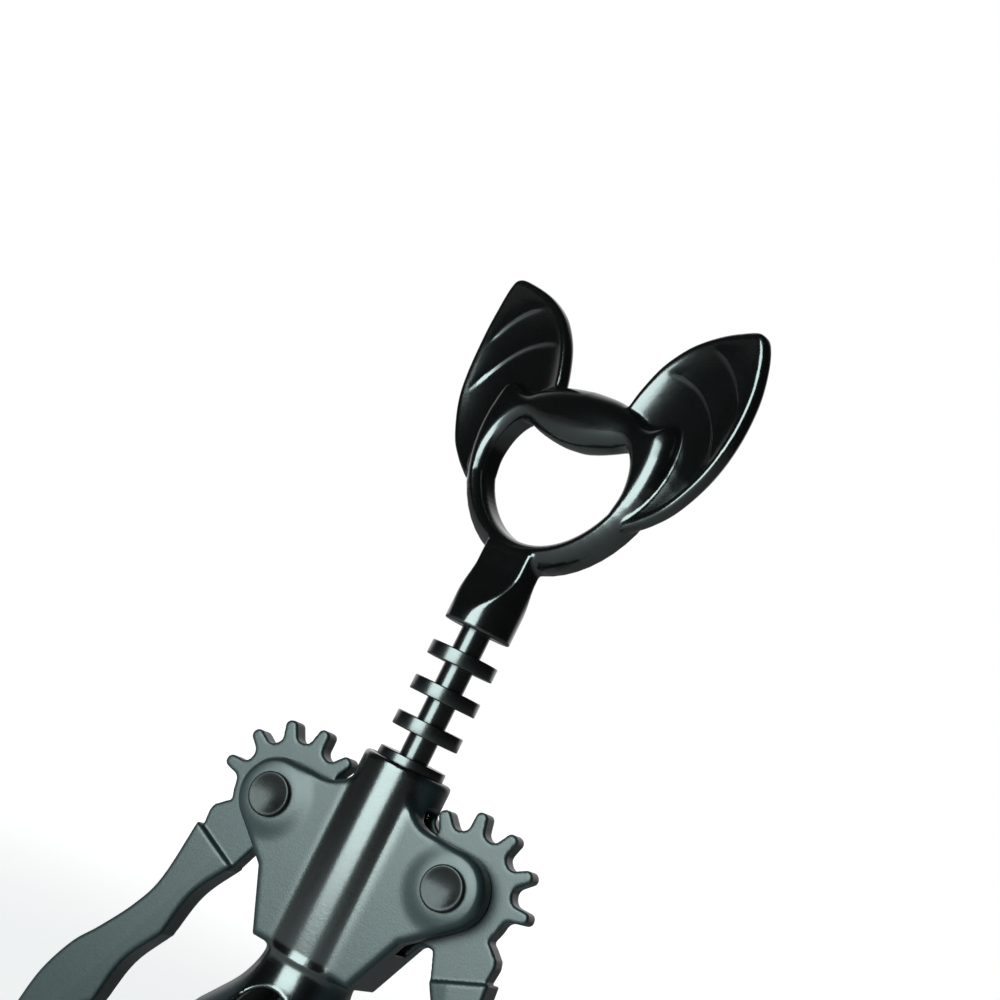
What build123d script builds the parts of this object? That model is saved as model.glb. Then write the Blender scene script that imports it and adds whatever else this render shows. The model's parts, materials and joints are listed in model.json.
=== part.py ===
"""Winged corkscrew with an eared crown-cap opener head.

+Z runs up the worm's axis, the levers stand out along X, the front faces -Y, and the origin is the centre
of the bell's mouth, on which the corkscrew stands. The levers hang a little open, with the rack near the top
of its travel.
"""

import os
from math import cos, degrees, pi, radians, sin, sqrt, tan

from build123d import *

# Clearances
RUNNING_CLEARANCE = 0.05  # radial, a pivot or spindle in its hole
SEAT_CLEARANCE = 0.02  # radial, a piece fixed in its seat
BORE_CLEARANCE = 0.5  # radial, rack teeth in the barrel
SIDE_CLEARANCE = 0.05  # each face of a lever washer
POCKET_CLEARANCE = 0.7  # pinion tips in the frame
THRUST_CLEARANCE = 0.1  # each face of the thrust washer
LINER_CLEARANCE = 0.1  # each face of the liner in its groove

# Rack: rings on a hollow sleeve
RACK_PITCH = 7.0
RACK_TOOTH_COUNT = 8
RING_COUNT_ABOVE_MESH = 5  # rings above the gap in which the levers' teeth stand
RACK_TOOTH_RADIUS = 6.5
RACK_ROOT_RADIUS = 2.8
RACK_RIM_THICKNESS = 2.3
RACK_ROOT_THICKNESS = 2.8
RACK_PITCH_LINE = 5.63  # radius on which rack and pinions roll
RACK_EDGE_ROUND = 0.25
SLEEVE_TAIL = 2.4  # plain length below the lowest ring

# Pinions
PINION_CIRCLE_TOOTH_COUNT = 12  # spacing of the teeth, as a full circle of them
PINION_TOOTH_COUNT = 8
PINION_ADDENDUM = 1.05
PINION_DEDENDUM = 2.8
PINION_THICKNESS = 4.0
TOOTH_THICKNESS = 2.35  # on the pitch circle
TOOTH_FLANK_ANGLE = 7.0
TOOTH_ROOT_ROUND = 1.05
TOOTH_CROWN = 0.9  # height of a tooth's rounded crown, as a share of half its thickness
TOOTHED_BELOW = 55.0  # how far below the pivot's level the rounded valleys go, in degrees
MESH_TOOTH_ANGLE = -6.5  # the tooth in mesh, from the line to the rack, upwards positive
TOOTH_COUNT_BELOW_MESH = 1
MESH_LIFT = 0.4  # how far that tooth stands above the middle of its gap, towards the ring above

# Levers
LEVER_SPLAY = 23.0  # from straight down
HUB_STEP = 15.2  # from the pivot to where the wing begins
ARM_INNER = 3.1  # edge of the arm on the side of the frame
ARM_NECK = 6.0  # edge on the other side, at the pivot
ARM_BREAK = 6.6  # from the pivot to where that edge turns outwards
ARM_SHOULDER = 8.7  # its furthest place
ARM_SHOULDER_AT = 11.2  # from the pivot to that place
ARM_STEP = 7.1  # the edge where the wing begins
WING_LENGTH = 73.0  # from the pivot
WING_SHOULDER = 8.0
WING_WAIST = 4.7
WING_WAIST_AT = 26.8
WING_WRIST = 7.2
WING_WRIST_AT = 45.3
WING_TIP = 1.5
WING_THICKNESS = 6.4
WING_EDGE_ROUND = 0.7
WING_CORNER_ROUND = 1.0
HUB_EDGE = 0.25
WING_CREASE = 0.65  # the crease line, outwards of the pivot
WING_CREASE_FALL = 0.45  # how much lower the face is at the inner edge
SCALLOPS = ((0, 0), (18, 0.3), (36, 0.9))  # points of the inner edge: along the wing, and further inwards
SCALLOP_DEPTH = 1.5

# Pivots
PIVOT_HEIGHT = 74.0
RIVET_RADIUS = 2.5
RIVET_HEAD_RADIUS = 4.1
RIVET_HEAD_THICKNESS = 1.0
BURR_RADIUS = 4.0
BURR_THICKNESS = 1.0
RIVET_TAIL_RADIUS = 3.2
RIVET_TAIL_HEIGHT = 0.8
LEVER_WASHER_RADIUS = 6.0
LEVER_WASHER_THICKNESS = 0.4

# Frame
BARREL_RADIUS = 8.5
BARREL_TOP = 15.3  # above the pivots
BARREL_EDGE_ROUND = 0.8
CHEEK_THICKNESS = 4.1
CHEEK_LOBE = 7.1
CHEEK_LOBE_END = 50.0  # where the lobe's round ends, in degrees below the pivot's level
CHEEK_FOOT = 15.6  # half width of the cheeks where they run down below the lobes
CHEEK_FOOT_DROP = 12.0
CHEEK_FOOT_ROUND = 6.0
CHEEK_WEB_ROUND = 6.5  # where the cheeks' top edges rise into the barrel
CHEEK_WAIST = 10.5  # half width where the cheeks meet the bell
CHEEK_EDGE_ROUND = 0.6
BOSS_RADIUS = 6.3
BOSS_HEIGHT = 0.6
BOSS_TAPER = 35.0
BELL_RADIUS = 18.0
BELL_WALL = 2.2
BELL_SKIRT = 27.0  # height of the straight part
BELL_TOP = 51.0
BELL_SEAT = 9.0  # depth of the mouth below the liner
BELL_LEDGE = 2.2  # how far the ledge above the liner stands in from the mouth
CORK_ROOM = 30.0  # height up to which the hollow takes a cork
WINDOW_WIDTH = 11.0
WINDOW_FOOT = 17.0
WINDOW_TOP = 45.0
LINER_THICKNESS = 3.0
LINER_GROOVE = 0.5  # how far the liner snaps into the bell's wall
LINER_BORE = 12.0  # radius, wide enough for a cork

# Worm
WIRE_RADIUS = 1.6
WORM_RADIUS = 3.3  # to the middle of the wire
WORM_PITCH = 8.8
WORM_TURN_COUNT = 4
WORM_LEAD_IN = 6.5  # height of the bend from the axis to the helix
WORM_POINT_ANGLE = 24.0
COLLAR_RADIUS = 4.2
COLLAR_HEIGHT = 2.6
COLLAR_GAP = 0.3

# Head
HEAD_SPIN = -21.3  # how far the head is turned about the worm's axis
NECK_GAP = 4.7  # from the top ring to the neck
NECK_RADIUS = 6.45
NECK_FLAT = 2.7  # half thickness of the neck at the ring
NECK_EDGE = 0.4
SLEEVE_SOCKET = 5.4  # depth of the sleeve's socket in the neck
THRUST_WASHER_THICKNESS = 0.8
SHANK_SOCKET = 12.0  # how far the worm's shank reaches into the neck
PIN_RADIUS = 0.8
PIN_RISE = 9.0  # above the foot of the neck
PIN_REACH = 2.9  # from the worm's axis, both ways
RING_RISE = 37.85  # centre of the ring above the foot of the neck
RING_RADIUS = 24.4
RING_THICKNESS = 6.0
RING_SET_BACK = 0.8
RING_ROUND = 2.1
HOLE_RADIUS = 19.6
HOLE_HALF_WIDTH = 17.2
LOBE_TOP = (11.6, 3.1)
LIP_BOTTOM = 0.4
BROW_TOP = 11.6
SADDLE = (15.2, 8.0)
RING_CORNER_ROUND = 3.0
HORN = (21.4, 10.0)
HORN_FOOT = 5.0  # how far the horns run down into the ring
HORN_THICKNESS = 4.6
HORN_ROUND = 1.0
HORN_EDGE_ROUND = 0.9
BROW_SAG = 0.9  # how far the brow's line lies below its top, half way to the saddles
BROW_BULGE = (14.0, 4.6)  # half width and half height of the swelling over the lip
BROW_RISE = 5.6

# Ears, in the plane of the head from the centre of the ring
EAR_TIP = (32.4, 29.4)
EAR_OUTER = (35.6, 16.5)
EAR_HIP = (34.4, 4.0)
EAR_HEEL = (29.4, -5.3)
EAR_END = (20.9, -11.2)
EAR_INNER = (17.3, 23.8)
EAR_ROOT = (7.3, 10.9)
EAR_SEAT = 28.0  # where the ear's lower end joins the ring, in degrees below its centre
EAR_SEAT_TOP = (21.0, 3.0)
EAR_THICKNESS = 3.0
EAR_LEAN = 22.0
EAR_MIDDLE = (21.8, 8.0)
EAR_DEPTH = 3.0
EAR_CROSS_RADIUS = 20.0
EAR_LONG_RADIUS = 80.0
EAR_SWING = 22.0  # how far the hollow is carried each way from its middle, in degrees
EAR_EDGE_ROUND = 0.9
EAR_TIP_ROUND = 1.6
EAR_CREASES = (6.0, 15.5)  # along the ear from its middle
EAR_CREASE_RADIUS = 0.35

# Sizes that follow
pitch_radius = PINION_CIRCLE_TOOTH_COUNT * RACK_PITCH / (2 * pi)
tip_radius = pitch_radius + PINION_ADDENDUM
root_radius = pitch_radius - PINION_DEDENDUM
tooth_step = 360 / PINION_CIRCLE_TOOTH_COUNT
pivot_offset = pitch_radius + RACK_PITCH_LINE
cheek_inner = PINION_THICKNESS / 2 + LEVER_WASHER_THICKNESS + 2 * SIDE_CLEARANCE
cheek_outer = cheek_inner + CHEEK_THICKNESS
cheek_web = sqrt(BARREL_RADIUS**2 - cheek_outer**2)
rivet_seat = cheek_outer + BOSS_HEIGHT
bore_radius = RACK_TOOTH_RADIUS + BORE_CLEARANCE
barrel_top = PIVOT_HEIGHT + BARREL_TOP
mesh_height = PIVOT_HEIGHT + pitch_radius * radians(MESH_TOOTH_ANGLE) + RACK_PITCH / 2 - MESH_LIFT
top_ring = mesh_height + RING_COUNT_ABOVE_MESH * RACK_PITCH
low_ring = top_ring - (RACK_TOOTH_COUNT - 1) * RACK_PITCH
neck_base = top_ring + RACK_RIM_THICKNESS / 2 + NECK_GAP
ring_centre = neck_base + RING_RISE
sleeve_foot = low_ring - RACK_ROOT_THICKNESS / 2 - SLEEVE_TAIL
sleeve_top = neck_base + SLEEVE_SOCKET - THRUST_WASHER_THICKNESS - 2 * THRUST_CLEARANCE
shank_hole = WIRE_RADIUS + RUNNING_CLEARANCE
collar_top = sleeve_foot - COLLAR_GAP
bend_top = collar_top - COLLAR_HEIGHT - COLLAR_GAP
helix_top = bend_top - WORM_LEAD_IN
head_plane = Plane((0, 0, 0), (cos(radians(HEAD_SPIN)), sin(radians(HEAD_SPIN)), 0),
                   (sin(radians(HEAD_SPIN)), -cos(radians(HEAD_SPIN)), 0))
neck_profile = Plane((0, 0, 0), (-sin(radians(HEAD_SPIN)), cos(radians(HEAD_SPIN)), 0),
                     (cos(radians(HEAD_SPIN)), sin(radians(HEAD_SPIN)), 0))
SIDES = (("left", -1), ("right", 1))
TOUCH = 1e-3  # how near two measures are to count as one

os.makedirs("parts", exist_ok=True)


def write(builder, name):
    """Label a finished piece and write it."""
    builder.part.label = name
    export_step(builder.part, f"parts/{name}.step")


def ring_piece(inner, outer, foot, height):
    """A plain ring about the worm's axis."""
    with BuildPart() as piece:
        with BuildSketch(Plane.XY.offset(foot)):
            Circle(outer)
            Circle(inner, mode=Mode.SUBTRACT)
        extrude(amount=height)
    return piece


# The frame: barrel, clevis cheeks and bell in one casting
with BuildPart() as frame:
    with BuildSketch(Plane.XZ) as cheeks:
        with BuildLine():
            lobe_top = PIVOT_HEIGHT + CHEEK_LOBE
            web_top = lobe_top + CHEEK_WEB_ROUND
            foot = PIVOT_HEIGHT - CHEEK_FOOT_DROP
            turn = radians(CHEEK_LOBE_END)
            flank = (pivot_offset + CHEEK_LOBE * cos(turn), PIVOT_HEIGHT - CHEEK_LOBE * sin(turn))
            Line((0, web_top), (cheek_web, web_top))
            TangentArc((cheek_web, web_top), (cheek_web + CHEEK_WEB_ROUND, lobe_top), tangent=(0, -1))
            Line((cheek_web + CHEEK_WEB_ROUND, lobe_top), (pivot_offset, lobe_top))
            ThreePointArc((pivot_offset, lobe_top), (pivot_offset + CHEEK_LOBE, PIVOT_HEIGHT), flank)
            Polyline(flank, (CHEEK_FOOT, foot), (CHEEK_WAIST, BELL_TOP), (0, BELL_TOP))
            mirror(about=Plane.YZ)
        make_face()
        fillet([v for v in cheeks.vertices() if abs(v.Y - foot) < TOUCH], CHEEK_FOOT_ROUND)
    extrude(amount=cheek_outer, both=True)
    fillet(frame.edges().filter_by(Axis.Y, reverse=True), CHEEK_EDGE_ROUND)
    for front in (1, -1):
        for name, side in SIDES:
            with BuildSketch(Plane.XZ.offset(front * cheek_outer)):
                with Locations((side * pivot_offset, PIVOT_HEIGHT)):
                    Circle(BOSS_RADIUS)
            extrude(amount=front * BOSS_HEIGHT, taper=BOSS_TAPER)
    with BuildSketch(Plane.XY.offset(BELL_TOP)):
        Circle(BARREL_RADIUS)
    extrude(amount=barrel_top - BELL_TOP)
    fillet(frame.edges().group_by(Axis.Z)[-1], BARREL_EDGE_ROUND)
    with BuildSketch(Plane.XZ):
        with BuildLine():
            Line((0, 0), (BELL_RADIUS, 0))
            Line((BELL_RADIUS, 0), (BELL_RADIUS, BELL_SKIRT))
            Spline((BELL_RADIUS, BELL_SKIRT), (BARREL_RADIUS, BELL_TOP), tangents=((0, 1), (0, 1)))
            Line((BARREL_RADIUS, BELL_TOP), (0, BELL_TOP))
            Line((0, BELL_TOP), (0, 0))
        make_face()
    revolve(axis=Axis.Z)
    with BuildSketch(Plane.XZ):
        with BuildLine():
            mouth = BELL_RADIUS - BELL_WALL
            roof = BELL_SEAT + LINER_THICKNESS + 2 * LINER_CLEARANCE
            groove = mouth + LINER_GROOVE
            Polyline((0, 0), (mouth, 0), (mouth, BELL_SEAT), (groove, BELL_SEAT), (groove, roof),
                     (mouth - BELL_LEDGE, roof), (mouth - BELL_LEDGE, CORK_ROOM))
            Spline((mouth - BELL_LEDGE, CORK_ROOM), (bore_radius, BELL_TOP - BELL_WALL),
                   tangents=((0, 1), (0, 1)))
            Line((bore_radius, BELL_TOP - BELL_WALL), (bore_radius, barrel_top))
            Line((bore_radius, barrel_top), (0, barrel_top))
            Line((0, barrel_top), (0, 0))
        make_face()
    revolve(axis=Axis.Z, mode=Mode.SUBTRACT)
    with BuildSketch(Plane.XZ):
        with Locations((0, (WINDOW_FOOT + WINDOW_TOP) / 2)):
            SlotOverall(WINDOW_TOP - WINDOW_FOOT, WINDOW_WIDTH, rotation=90)
    extrude(amount=BELL_RADIUS, both=True, mode=Mode.SUBTRACT)
    with BuildSketch(Plane.XZ):
        for name, side in SIDES:
            with Locations((side * pivot_offset, PIVOT_HEIGHT)):
                Circle(tip_radius + POCKET_CLEARANCE)
    extrude(amount=cheek_inner, both=True, mode=Mode.SUBTRACT)
    with BuildSketch(Plane.XZ):
        for name, side in SIDES:
            with Locations((side * pivot_offset, PIVOT_HEIGHT)):
                Circle(RIVET_RADIUS + SEAT_CLEARANCE)
    extrude(amount=rivet_seat, both=True, mode=Mode.SUBTRACT)
write(frame, "frame")

# The liner that meets the bottle's rim and lets the cork through
with BuildPart() as bell_liner:
    with BuildSketch(Plane.XY.offset(BELL_SEAT + LINER_CLEARANCE)):
        Circle(BELL_RADIUS - BELL_WALL + LINER_GROOVE - SEAT_CLEARANCE)
        Circle(LINER_BORE, mode=Mode.SUBTRACT)
    extrude(amount=LINER_THICKNESS)
    chamfer(bell_liner.edges().group_by(Axis.Z)[0].sort_by(SortBy.RADIUS)[0], LINER_THICKNESS / 2)
write(bell_liner, "bell_liner")


def pivot_rivet(side):
    """A shouldered rivet with a broad flat head at the front and a low closed tail behind the burr."""
    with BuildPart() as rivet:
        with BuildSketch(Plane.XZ.offset(rivet_seat)):
            with Locations((side * pivot_offset, PIVOT_HEIGHT)):
                Circle(RIVET_HEAD_RADIUS)
        extrude(amount=RIVET_HEAD_THICKNESS)
        fillet(rivet.edges().group_by(Axis.Y)[0], RIVET_HEAD_THICKNESS / 3)
        with BuildSketch(Plane.XZ.offset(rivet_seat)):
            with Locations((side * pivot_offset, PIVOT_HEIGHT)):
                Circle(RIVET_RADIUS)
        extrude(amount=-2 * rivet_seat - BURR_THICKNESS)
        with BuildSketch(Plane.XZ.offset(-rivet_seat - BURR_THICKNESS)):
            with Locations((side * pivot_offset, PIVOT_HEIGHT)):
                Circle(RIVET_TAIL_RADIUS)
        extrude(amount=-RIVET_TAIL_HEIGHT)
        fillet(rivet.edges().group_by(Axis.Y)[-1], RIVET_TAIL_HEIGHT / 2)
    return rivet


def rivet_burr(side):
    """The ring that the rivet's tail is closed over."""
    with BuildPart() as burr:
        with BuildSketch(Plane.XZ.offset(-rivet_seat)):
            with Locations((side * pivot_offset, PIVOT_HEIGHT)):
                Circle(BURR_RADIUS)
                Circle(RIVET_RADIUS + SEAT_CLEARANCE, mode=Mode.SUBTRACT)
        extrude(amount=-BURR_THICKNESS)
    return burr


def lever_washers(side):
    """The two thin washers that keep a pinion central in its clevis."""
    face = PINION_THICKNESS / 2 + SIDE_CLEARANCE
    with BuildPart() as washers:
        for front in (1, -1):
            with BuildSketch(Plane.XZ.offset(front * face)):
                with Locations((side * pivot_offset, PIVOT_HEIGHT)):
                    Circle(LEVER_WASHER_RADIUS)
                    Circle(RIVET_RADIUS + SEAT_CLEARANCE, mode=Mode.SUBTRACT)
            extrude(amount=front * LEVER_WASHER_THICKNESS)
    return washers


def lever(side):
    """One lever: pinion teeth, hub and wing in one casting."""

    def at(along, outwards):
        """A point of the lever: along it from the pivot, and outwards from the frame."""
        tilt = radians(LEVER_SPLAY)
        x = pivot_offset + along * sin(tilt) + outwards * cos(tilt)
        return side * x, PIVOT_HEIGHT - along * cos(tilt) + outwards * sin(tilt)

    def tooth_point(angle, radius, offset):
        """A point of a tooth: its distance from the pivot, and its offset from the tooth's middle line."""
        turn = radians(angle)
        x = side * (pivot_offset - radius * cos(turn) + offset * sin(turn))
        return x, PIVOT_HEIGHT + radius * sin(turn) + offset * cos(turn)

    def half_tooth(radius):
        return TOOTH_THICKNESS / 2 + (pitch_radius - radius) * tan(radians(TOOTH_FLANK_ANGLE))

    hub_face = PINION_THICKNESS / 2
    wing_face = WING_THICKNESS / 2
    bed = root_radius - TOOTH_ROOT_ROUND / 2
    crown = tip_radius - TOOTH_CROWN * half_tooth(tip_radius - TOOTH_THICKNESS / 2)
    first = MESH_TOOTH_ANGLE - TOOTH_COUNT_BELOW_MESH * tooth_step
    tip = at(WING_LENGTH, WING_TIP)
    scallops = [at(HUB_STEP + along, -ARM_INNER - inwards) for along, inwards in SCALLOPS] + [tip]

    pivot = Vector(*at(0, 0))
    with BuildPart() as wing:
        with BuildSketch(Plane.XZ) as outline:
            with BuildLine():
                for start, end in zip(scallops, scallops[1:]):
                    chord = Vector(*end) - Vector(*start)
                    out = Vector(*at(0, 1)) - pivot
                    middle = Vector(*start) + chord * 0.5 + out * SCALLOP_DEPTH
                    ThreePointArc(start, (middle.X, middle.Y), end)
                wrist, waist = at(WING_WRIST_AT, WING_WRIST), at(WING_WAIST_AT, WING_WAIST)
                ThreePointArc(tip, at((WING_WRIST_AT + WING_LENGTH) / 2, WING_WRIST), wrist)
                ThreePointArc(wrist, at((WING_WAIST_AT + WING_WRIST_AT) / 2, WING_WAIST), waist)
                Polyline(waist, at(HUB_STEP, WING_SHOULDER), scallops[0])
            make_face()
            fillet(outline.vertices(), WING_CORNER_ROUND)
        extrude(amount=wing_face, both=True)
        fillet(wing.faces().filter_by(Axis.Y).edges(), WING_EDGE_ROUND)

    with BuildPart() as piece:
        with BuildSketch(Plane.XZ) as hub:
            with Locations(at(0, 0)):
                Circle(root_radius)
            for count in range(PINION_TOOTH_COUNT):
                angle = first + count * tooth_step
                with BuildLine():
                    low, high = half_tooth(bed), half_tooth(crown)
                    Line(tooth_point(angle, bed, -low), tooth_point(angle, crown, -high))
                    ThreePointArc(tooth_point(angle, crown, -high), tooth_point(angle, tip_radius, 0),
                                  tooth_point(angle, crown, high))
                    Line(tooth_point(angle, crown, high), tooth_point(angle, bed, low))
                    Line(tooth_point(angle, bed, low), tooth_point(angle, bed, -low))
                make_face()
            with BuildLine():
                Polyline(at(0, -ARM_INNER), at(HUB_STEP, -ARM_INNER), at(HUB_STEP, ARM_STEP),
                         at(ARM_SHOULDER_AT, ARM_SHOULDER), at(ARM_BREAK, ARM_NECK), at(0, ARM_NECK),
                         close=True)
            make_face()
            valleys = [v for v in hub.vertices()
                       if abs((Vector(v.X, v.Y) - pivot).length - root_radius) < TOUCH
                       and v.Y > PIVOT_HEIGHT - root_radius * sin(radians(TOOTHED_BELOW))]
            fillet(valleys, TOOTH_ROOT_ROUND)
        extrude(amount=hub_face, both=True)
        chamfer(piece.faces().filter_by(Axis.Y).edges(), HUB_EDGE)
        add(wing.part)
        crease_x, crease_z = at(HUB_STEP, WING_CREASE)
        inwards = pivot - Vector(*at(0, 1))
        down = Vector(*at(1, 0)) - pivot
        reach = 2 * (WING_CREASE + ARM_INNER)
        with BuildSketch(Plane((crease_x, 0, crease_z), (inwards.X, 0, inwards.Y), (down.X, 0, down.Y))):
            for front in (1, -1):
                Polygon((0, front * wing_face), (reach, front * wing_face),
                        (reach, front * (wing_face - 2 * WING_CREASE_FALL)), align=None)
        extrude(amount=WING_LENGTH, mode=Mode.SUBTRACT)
        with BuildSketch(Plane.XZ):
            with Locations(at(0, 0)):
                Circle(RIVET_RADIUS + RUNNING_CLEARANCE)
        extrude(amount=hub_face, both=True, mode=Mode.SUBTRACT)
    return piece


for name, side in SIDES:
    write(pivot_rivet(side), f"{name}_pivot_rivet")
    write(rivet_burr(side), f"{name}_rivet_burr")
    write(lever_washers(side), f"{name}_lever_washers")
    write(lever(side), f"{name}_lever")

# The rack: a sleeve with rings, turned in one piece
with BuildPart() as rack_sleeve:
    with BuildSketch(Plane.XZ):
        with Locations(((shank_hole + RACK_ROOT_RADIUS) / 2, (sleeve_foot + sleeve_top) / 2)):
            Rectangle(RACK_ROOT_RADIUS - shank_hole, sleeve_top - sleeve_foot)
        for count in range(RACK_TOOTH_COUNT):
            middle = top_ring - count * RACK_PITCH
            root, rim = RACK_ROOT_THICKNESS / 2, RACK_RIM_THICKNESS / 2
            with BuildLine():
                Polyline((shank_hole, middle - root), (RACK_ROOT_RADIUS, middle - root),
                         (RACK_TOOTH_RADIUS, middle - rim), (RACK_TOOTH_RADIUS, middle + rim),
                         (RACK_ROOT_RADIUS, middle + root), (shank_hole, middle + root), close=True)
            make_face()
    revolve(axis=Axis.Z)
    rims = [edge for edge in rack_sleeve.edges().filter_by(GeomType.CIRCLE)
            if abs(edge.radius - RACK_TOOTH_RADIUS) < TOUCH]
    fillet(rims, RACK_EDGE_ROUND)
write(rack_sleeve, "rack_sleeve")

write(ring_piece(WIRE_RADIUS + SEAT_CLEARANCE, COLLAR_RADIUS, collar_top - COLLAR_HEIGHT, COLLAR_HEIGHT),
      "worm_collar")
write(ring_piece(shank_hole, RACK_ROOT_RADIUS, sleeve_top + THRUST_CLEARANCE, THRUST_WASHER_THICKNESS),
      "thrust_washer")


def biarc(start, start_way, end, end_way):
    """The point and direction where two tangent arcs from start to end meet."""
    span = end - start
    ways = start_way + end_way
    a = 4 - ways.dot(ways)
    b = 2 * span.dot(ways)
    reach = 2 * span.dot(span) / (b + sqrt(b * b + 4 * a * span.dot(span)))
    first, last = start + start_way * reach, end - end_way * reach
    return (first + last) * 0.5, (last - first).normalized()


def helix_place(turn):
    """Place and direction on the worm's helix, going down it."""
    angle = 2 * pi * turn
    slope = WORM_PITCH / (2 * pi)
    place = Vector(WORM_RADIUS * cos(angle), -WORM_RADIUS * sin(angle), helix_top - WORM_PITCH * turn)
    way = Vector(-WORM_RADIUS * sin(angle), -WORM_RADIUS * cos(angle), -slope)
    return place, way.normalized()


# The worm: one wire, straight through the sleeve and then wound into an open helix
shank_top = neck_base + SHANK_SOCKET - THRUST_CLEARANCE
with BuildPart() as worm:
    with BuildLine() as wire:
        Line((0, 0, shank_top), (0, 0, bend_top))
        place, way = Vector(0, 0, bend_top), Vector(0, 0, -1)
        for count in range(4 * WORM_TURN_COUNT + 1):
            next_place, next_way = helix_place(count / 4)
            middle, middle_way = biarc(place, way, next_place, next_way)
            TangentArc(place, middle, tangent=way)
            TangentArc(middle, next_place, tangent=middle_way)
            place, way = next_place, next_way
    with BuildSketch(Plane((0, 0, shank_top), z_dir=(0, 0, -1))):
        Circle(WIRE_RADIUS)
    sweep(path=wire.wires()[0])
    upper = (Vector(0, 0, 1) - way * way.Z).normalized()
    slant = radians(WORM_POINT_ANGLE)
    point_plane = Plane(place - upper * WIRE_RADIUS, way * cos(slant) - upper * sin(slant),
                        upper * cos(slant) + way * sin(slant))
    with Locations(point_plane):
        Box(4 * WIRE_RADIUS / sin(slant), 4 * WIRE_RADIUS, 3 * WIRE_RADIUS,
            align=(Align.CENTER, Align.CENTER, Align.MIN), mode=Mode.SUBTRACT)
    with BuildSketch(head_plane):
        with Locations((0, neck_base + PIN_RISE)):
            Circle(PIN_RADIUS + SEAT_CLEARANCE)
    extrude(amount=2 * WIRE_RADIUS, both=True, mode=Mode.SUBTRACT)
write(worm, "worm")


def head_point(x, z):
    """A point in the plane of the head, from the centre of the ring."""
    return x, ring_centre + z


# The neck: a round bar, scooped flat at the front and back where it meets the ring
with BuildPart() as neck:
    with BuildSketch(Plane.XY.offset(neck_base)):
        Circle(NECK_RADIUS)
    extrude(amount=RING_RISE - (RING_RADIUS + HOLE_RADIUS) / 2)
    chamfer(neck.edges().group_by(Axis.Z)[0], NECK_EDGE)
    with BuildSketch(neck_profile):
        with BuildLine():
            scoop_top = ring_centre - RING_RADIUS
            beyond = 2 * NECK_RADIUS
            TangentArc((NECK_FLAT, scoop_top), (NECK_RADIUS, neck_base + 2 * NECK_EDGE), tangent=(0, -1))
            Polyline((NECK_RADIUS, neck_base + 2 * NECK_EDGE), (beyond, neck_base + 2 * NECK_EDGE),
                     (beyond, ring_centre), (NECK_FLAT, ring_centre), (NECK_FLAT, scoop_top))
        make_face()
        mirror(about=Plane.YZ)
    extrude(amount=beyond, both=True, mode=Mode.SUBTRACT)


def ear(side):
    """A pointed spoon: a shell hollowed both ways, trimmed to the ear's outline."""
    across = head_plane.x_dir * cos(radians(EAR_LEAN)) - Vector(0, 0, 1) * side * sin(radians(EAR_LEAN))
    along = head_plane.x_dir * side * sin(radians(EAR_LEAN)) + Vector(0, 0, 1) * cos(radians(EAR_LEAN))
    back = head_plane.z_dir * -1
    middle = (head_plane.x_dir * side * EAR_MIDDLE[0] + back * EAR_DEPTH
              + Vector(0, 0, ring_centre + EAR_MIDDLE[1]))
    hub = middle - back * EAR_LONG_RADIUS

    def section(swing):
        """The plane across the ear after a swing towards its tip."""
        outwards = back * cos(radians(swing)) + along * sin(radians(swing))
        normal = along * cos(radians(swing)) - back * sin(radians(swing))
        return Plane(hub + outwards * EAR_LONG_RADIUS, across, normal)

    with BuildPart() as piece:
        with BuildSketch(section(-EAR_SWING)):
            with Locations((0, -EAR_CROSS_RADIUS)):
                Circle(EAR_CROSS_RADIUS + EAR_THICKNESS)
                Circle(EAR_CROSS_RADIUS, mode=Mode.SUBTRACT)
            with Locations((0, -EAR_CROSS_RADIUS / 2)):
                Rectangle(4 * EAR_CROSS_RADIUS, EAR_CROSS_RADIUS, align=(Align.CENTER, Align.MIN),
                          mode=Mode.INTERSECT)
        revolve(axis=Axis(hub, across), revolution_arc=2 * EAR_SWING)
        with BuildSketch(head_plane) as outline:
            with BuildLine():
                ThreePointArc(head_point(*EAR_ROOT), head_point(*EAR_INNER), head_point(*EAR_TIP))
                ThreePointArc(head_point(*EAR_TIP), head_point(*EAR_OUTER), head_point(*EAR_HIP))
                ThreePointArc(head_point(*EAR_HIP), head_point(*EAR_HEEL), head_point(*EAR_END))
                inset = (RING_RADIUS + HOLE_RADIUS) / 2
                seat = radians(EAR_SEAT)
                Polyline(head_point(*EAR_END), head_point(inset * cos(seat), -inset * sin(seat)),
                         head_point(*EAR_SEAT_TOP), head_point(*EAR_ROOT))
            make_face()
            fillet(outline.vertices().group_by(Axis.Y)[-1], EAR_TIP_ROUND)
            if side < 0:
                mirror(about=Plane.YZ, mode=Mode.REPLACE)
        extrude(amount=2 * EAR_CROSS_RADIUS, both=True, mode=Mode.INTERSECT)
        for rise in EAR_CREASES:
            with Locations(section(degrees(rise / EAR_LONG_RADIUS))):
                with Locations((0, -EAR_CROSS_RADIUS, 0)):
                    Torus(EAR_CROSS_RADIUS, EAR_CREASE_RADIUS, mode=Mode.SUBTRACT)
    return piece


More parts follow.
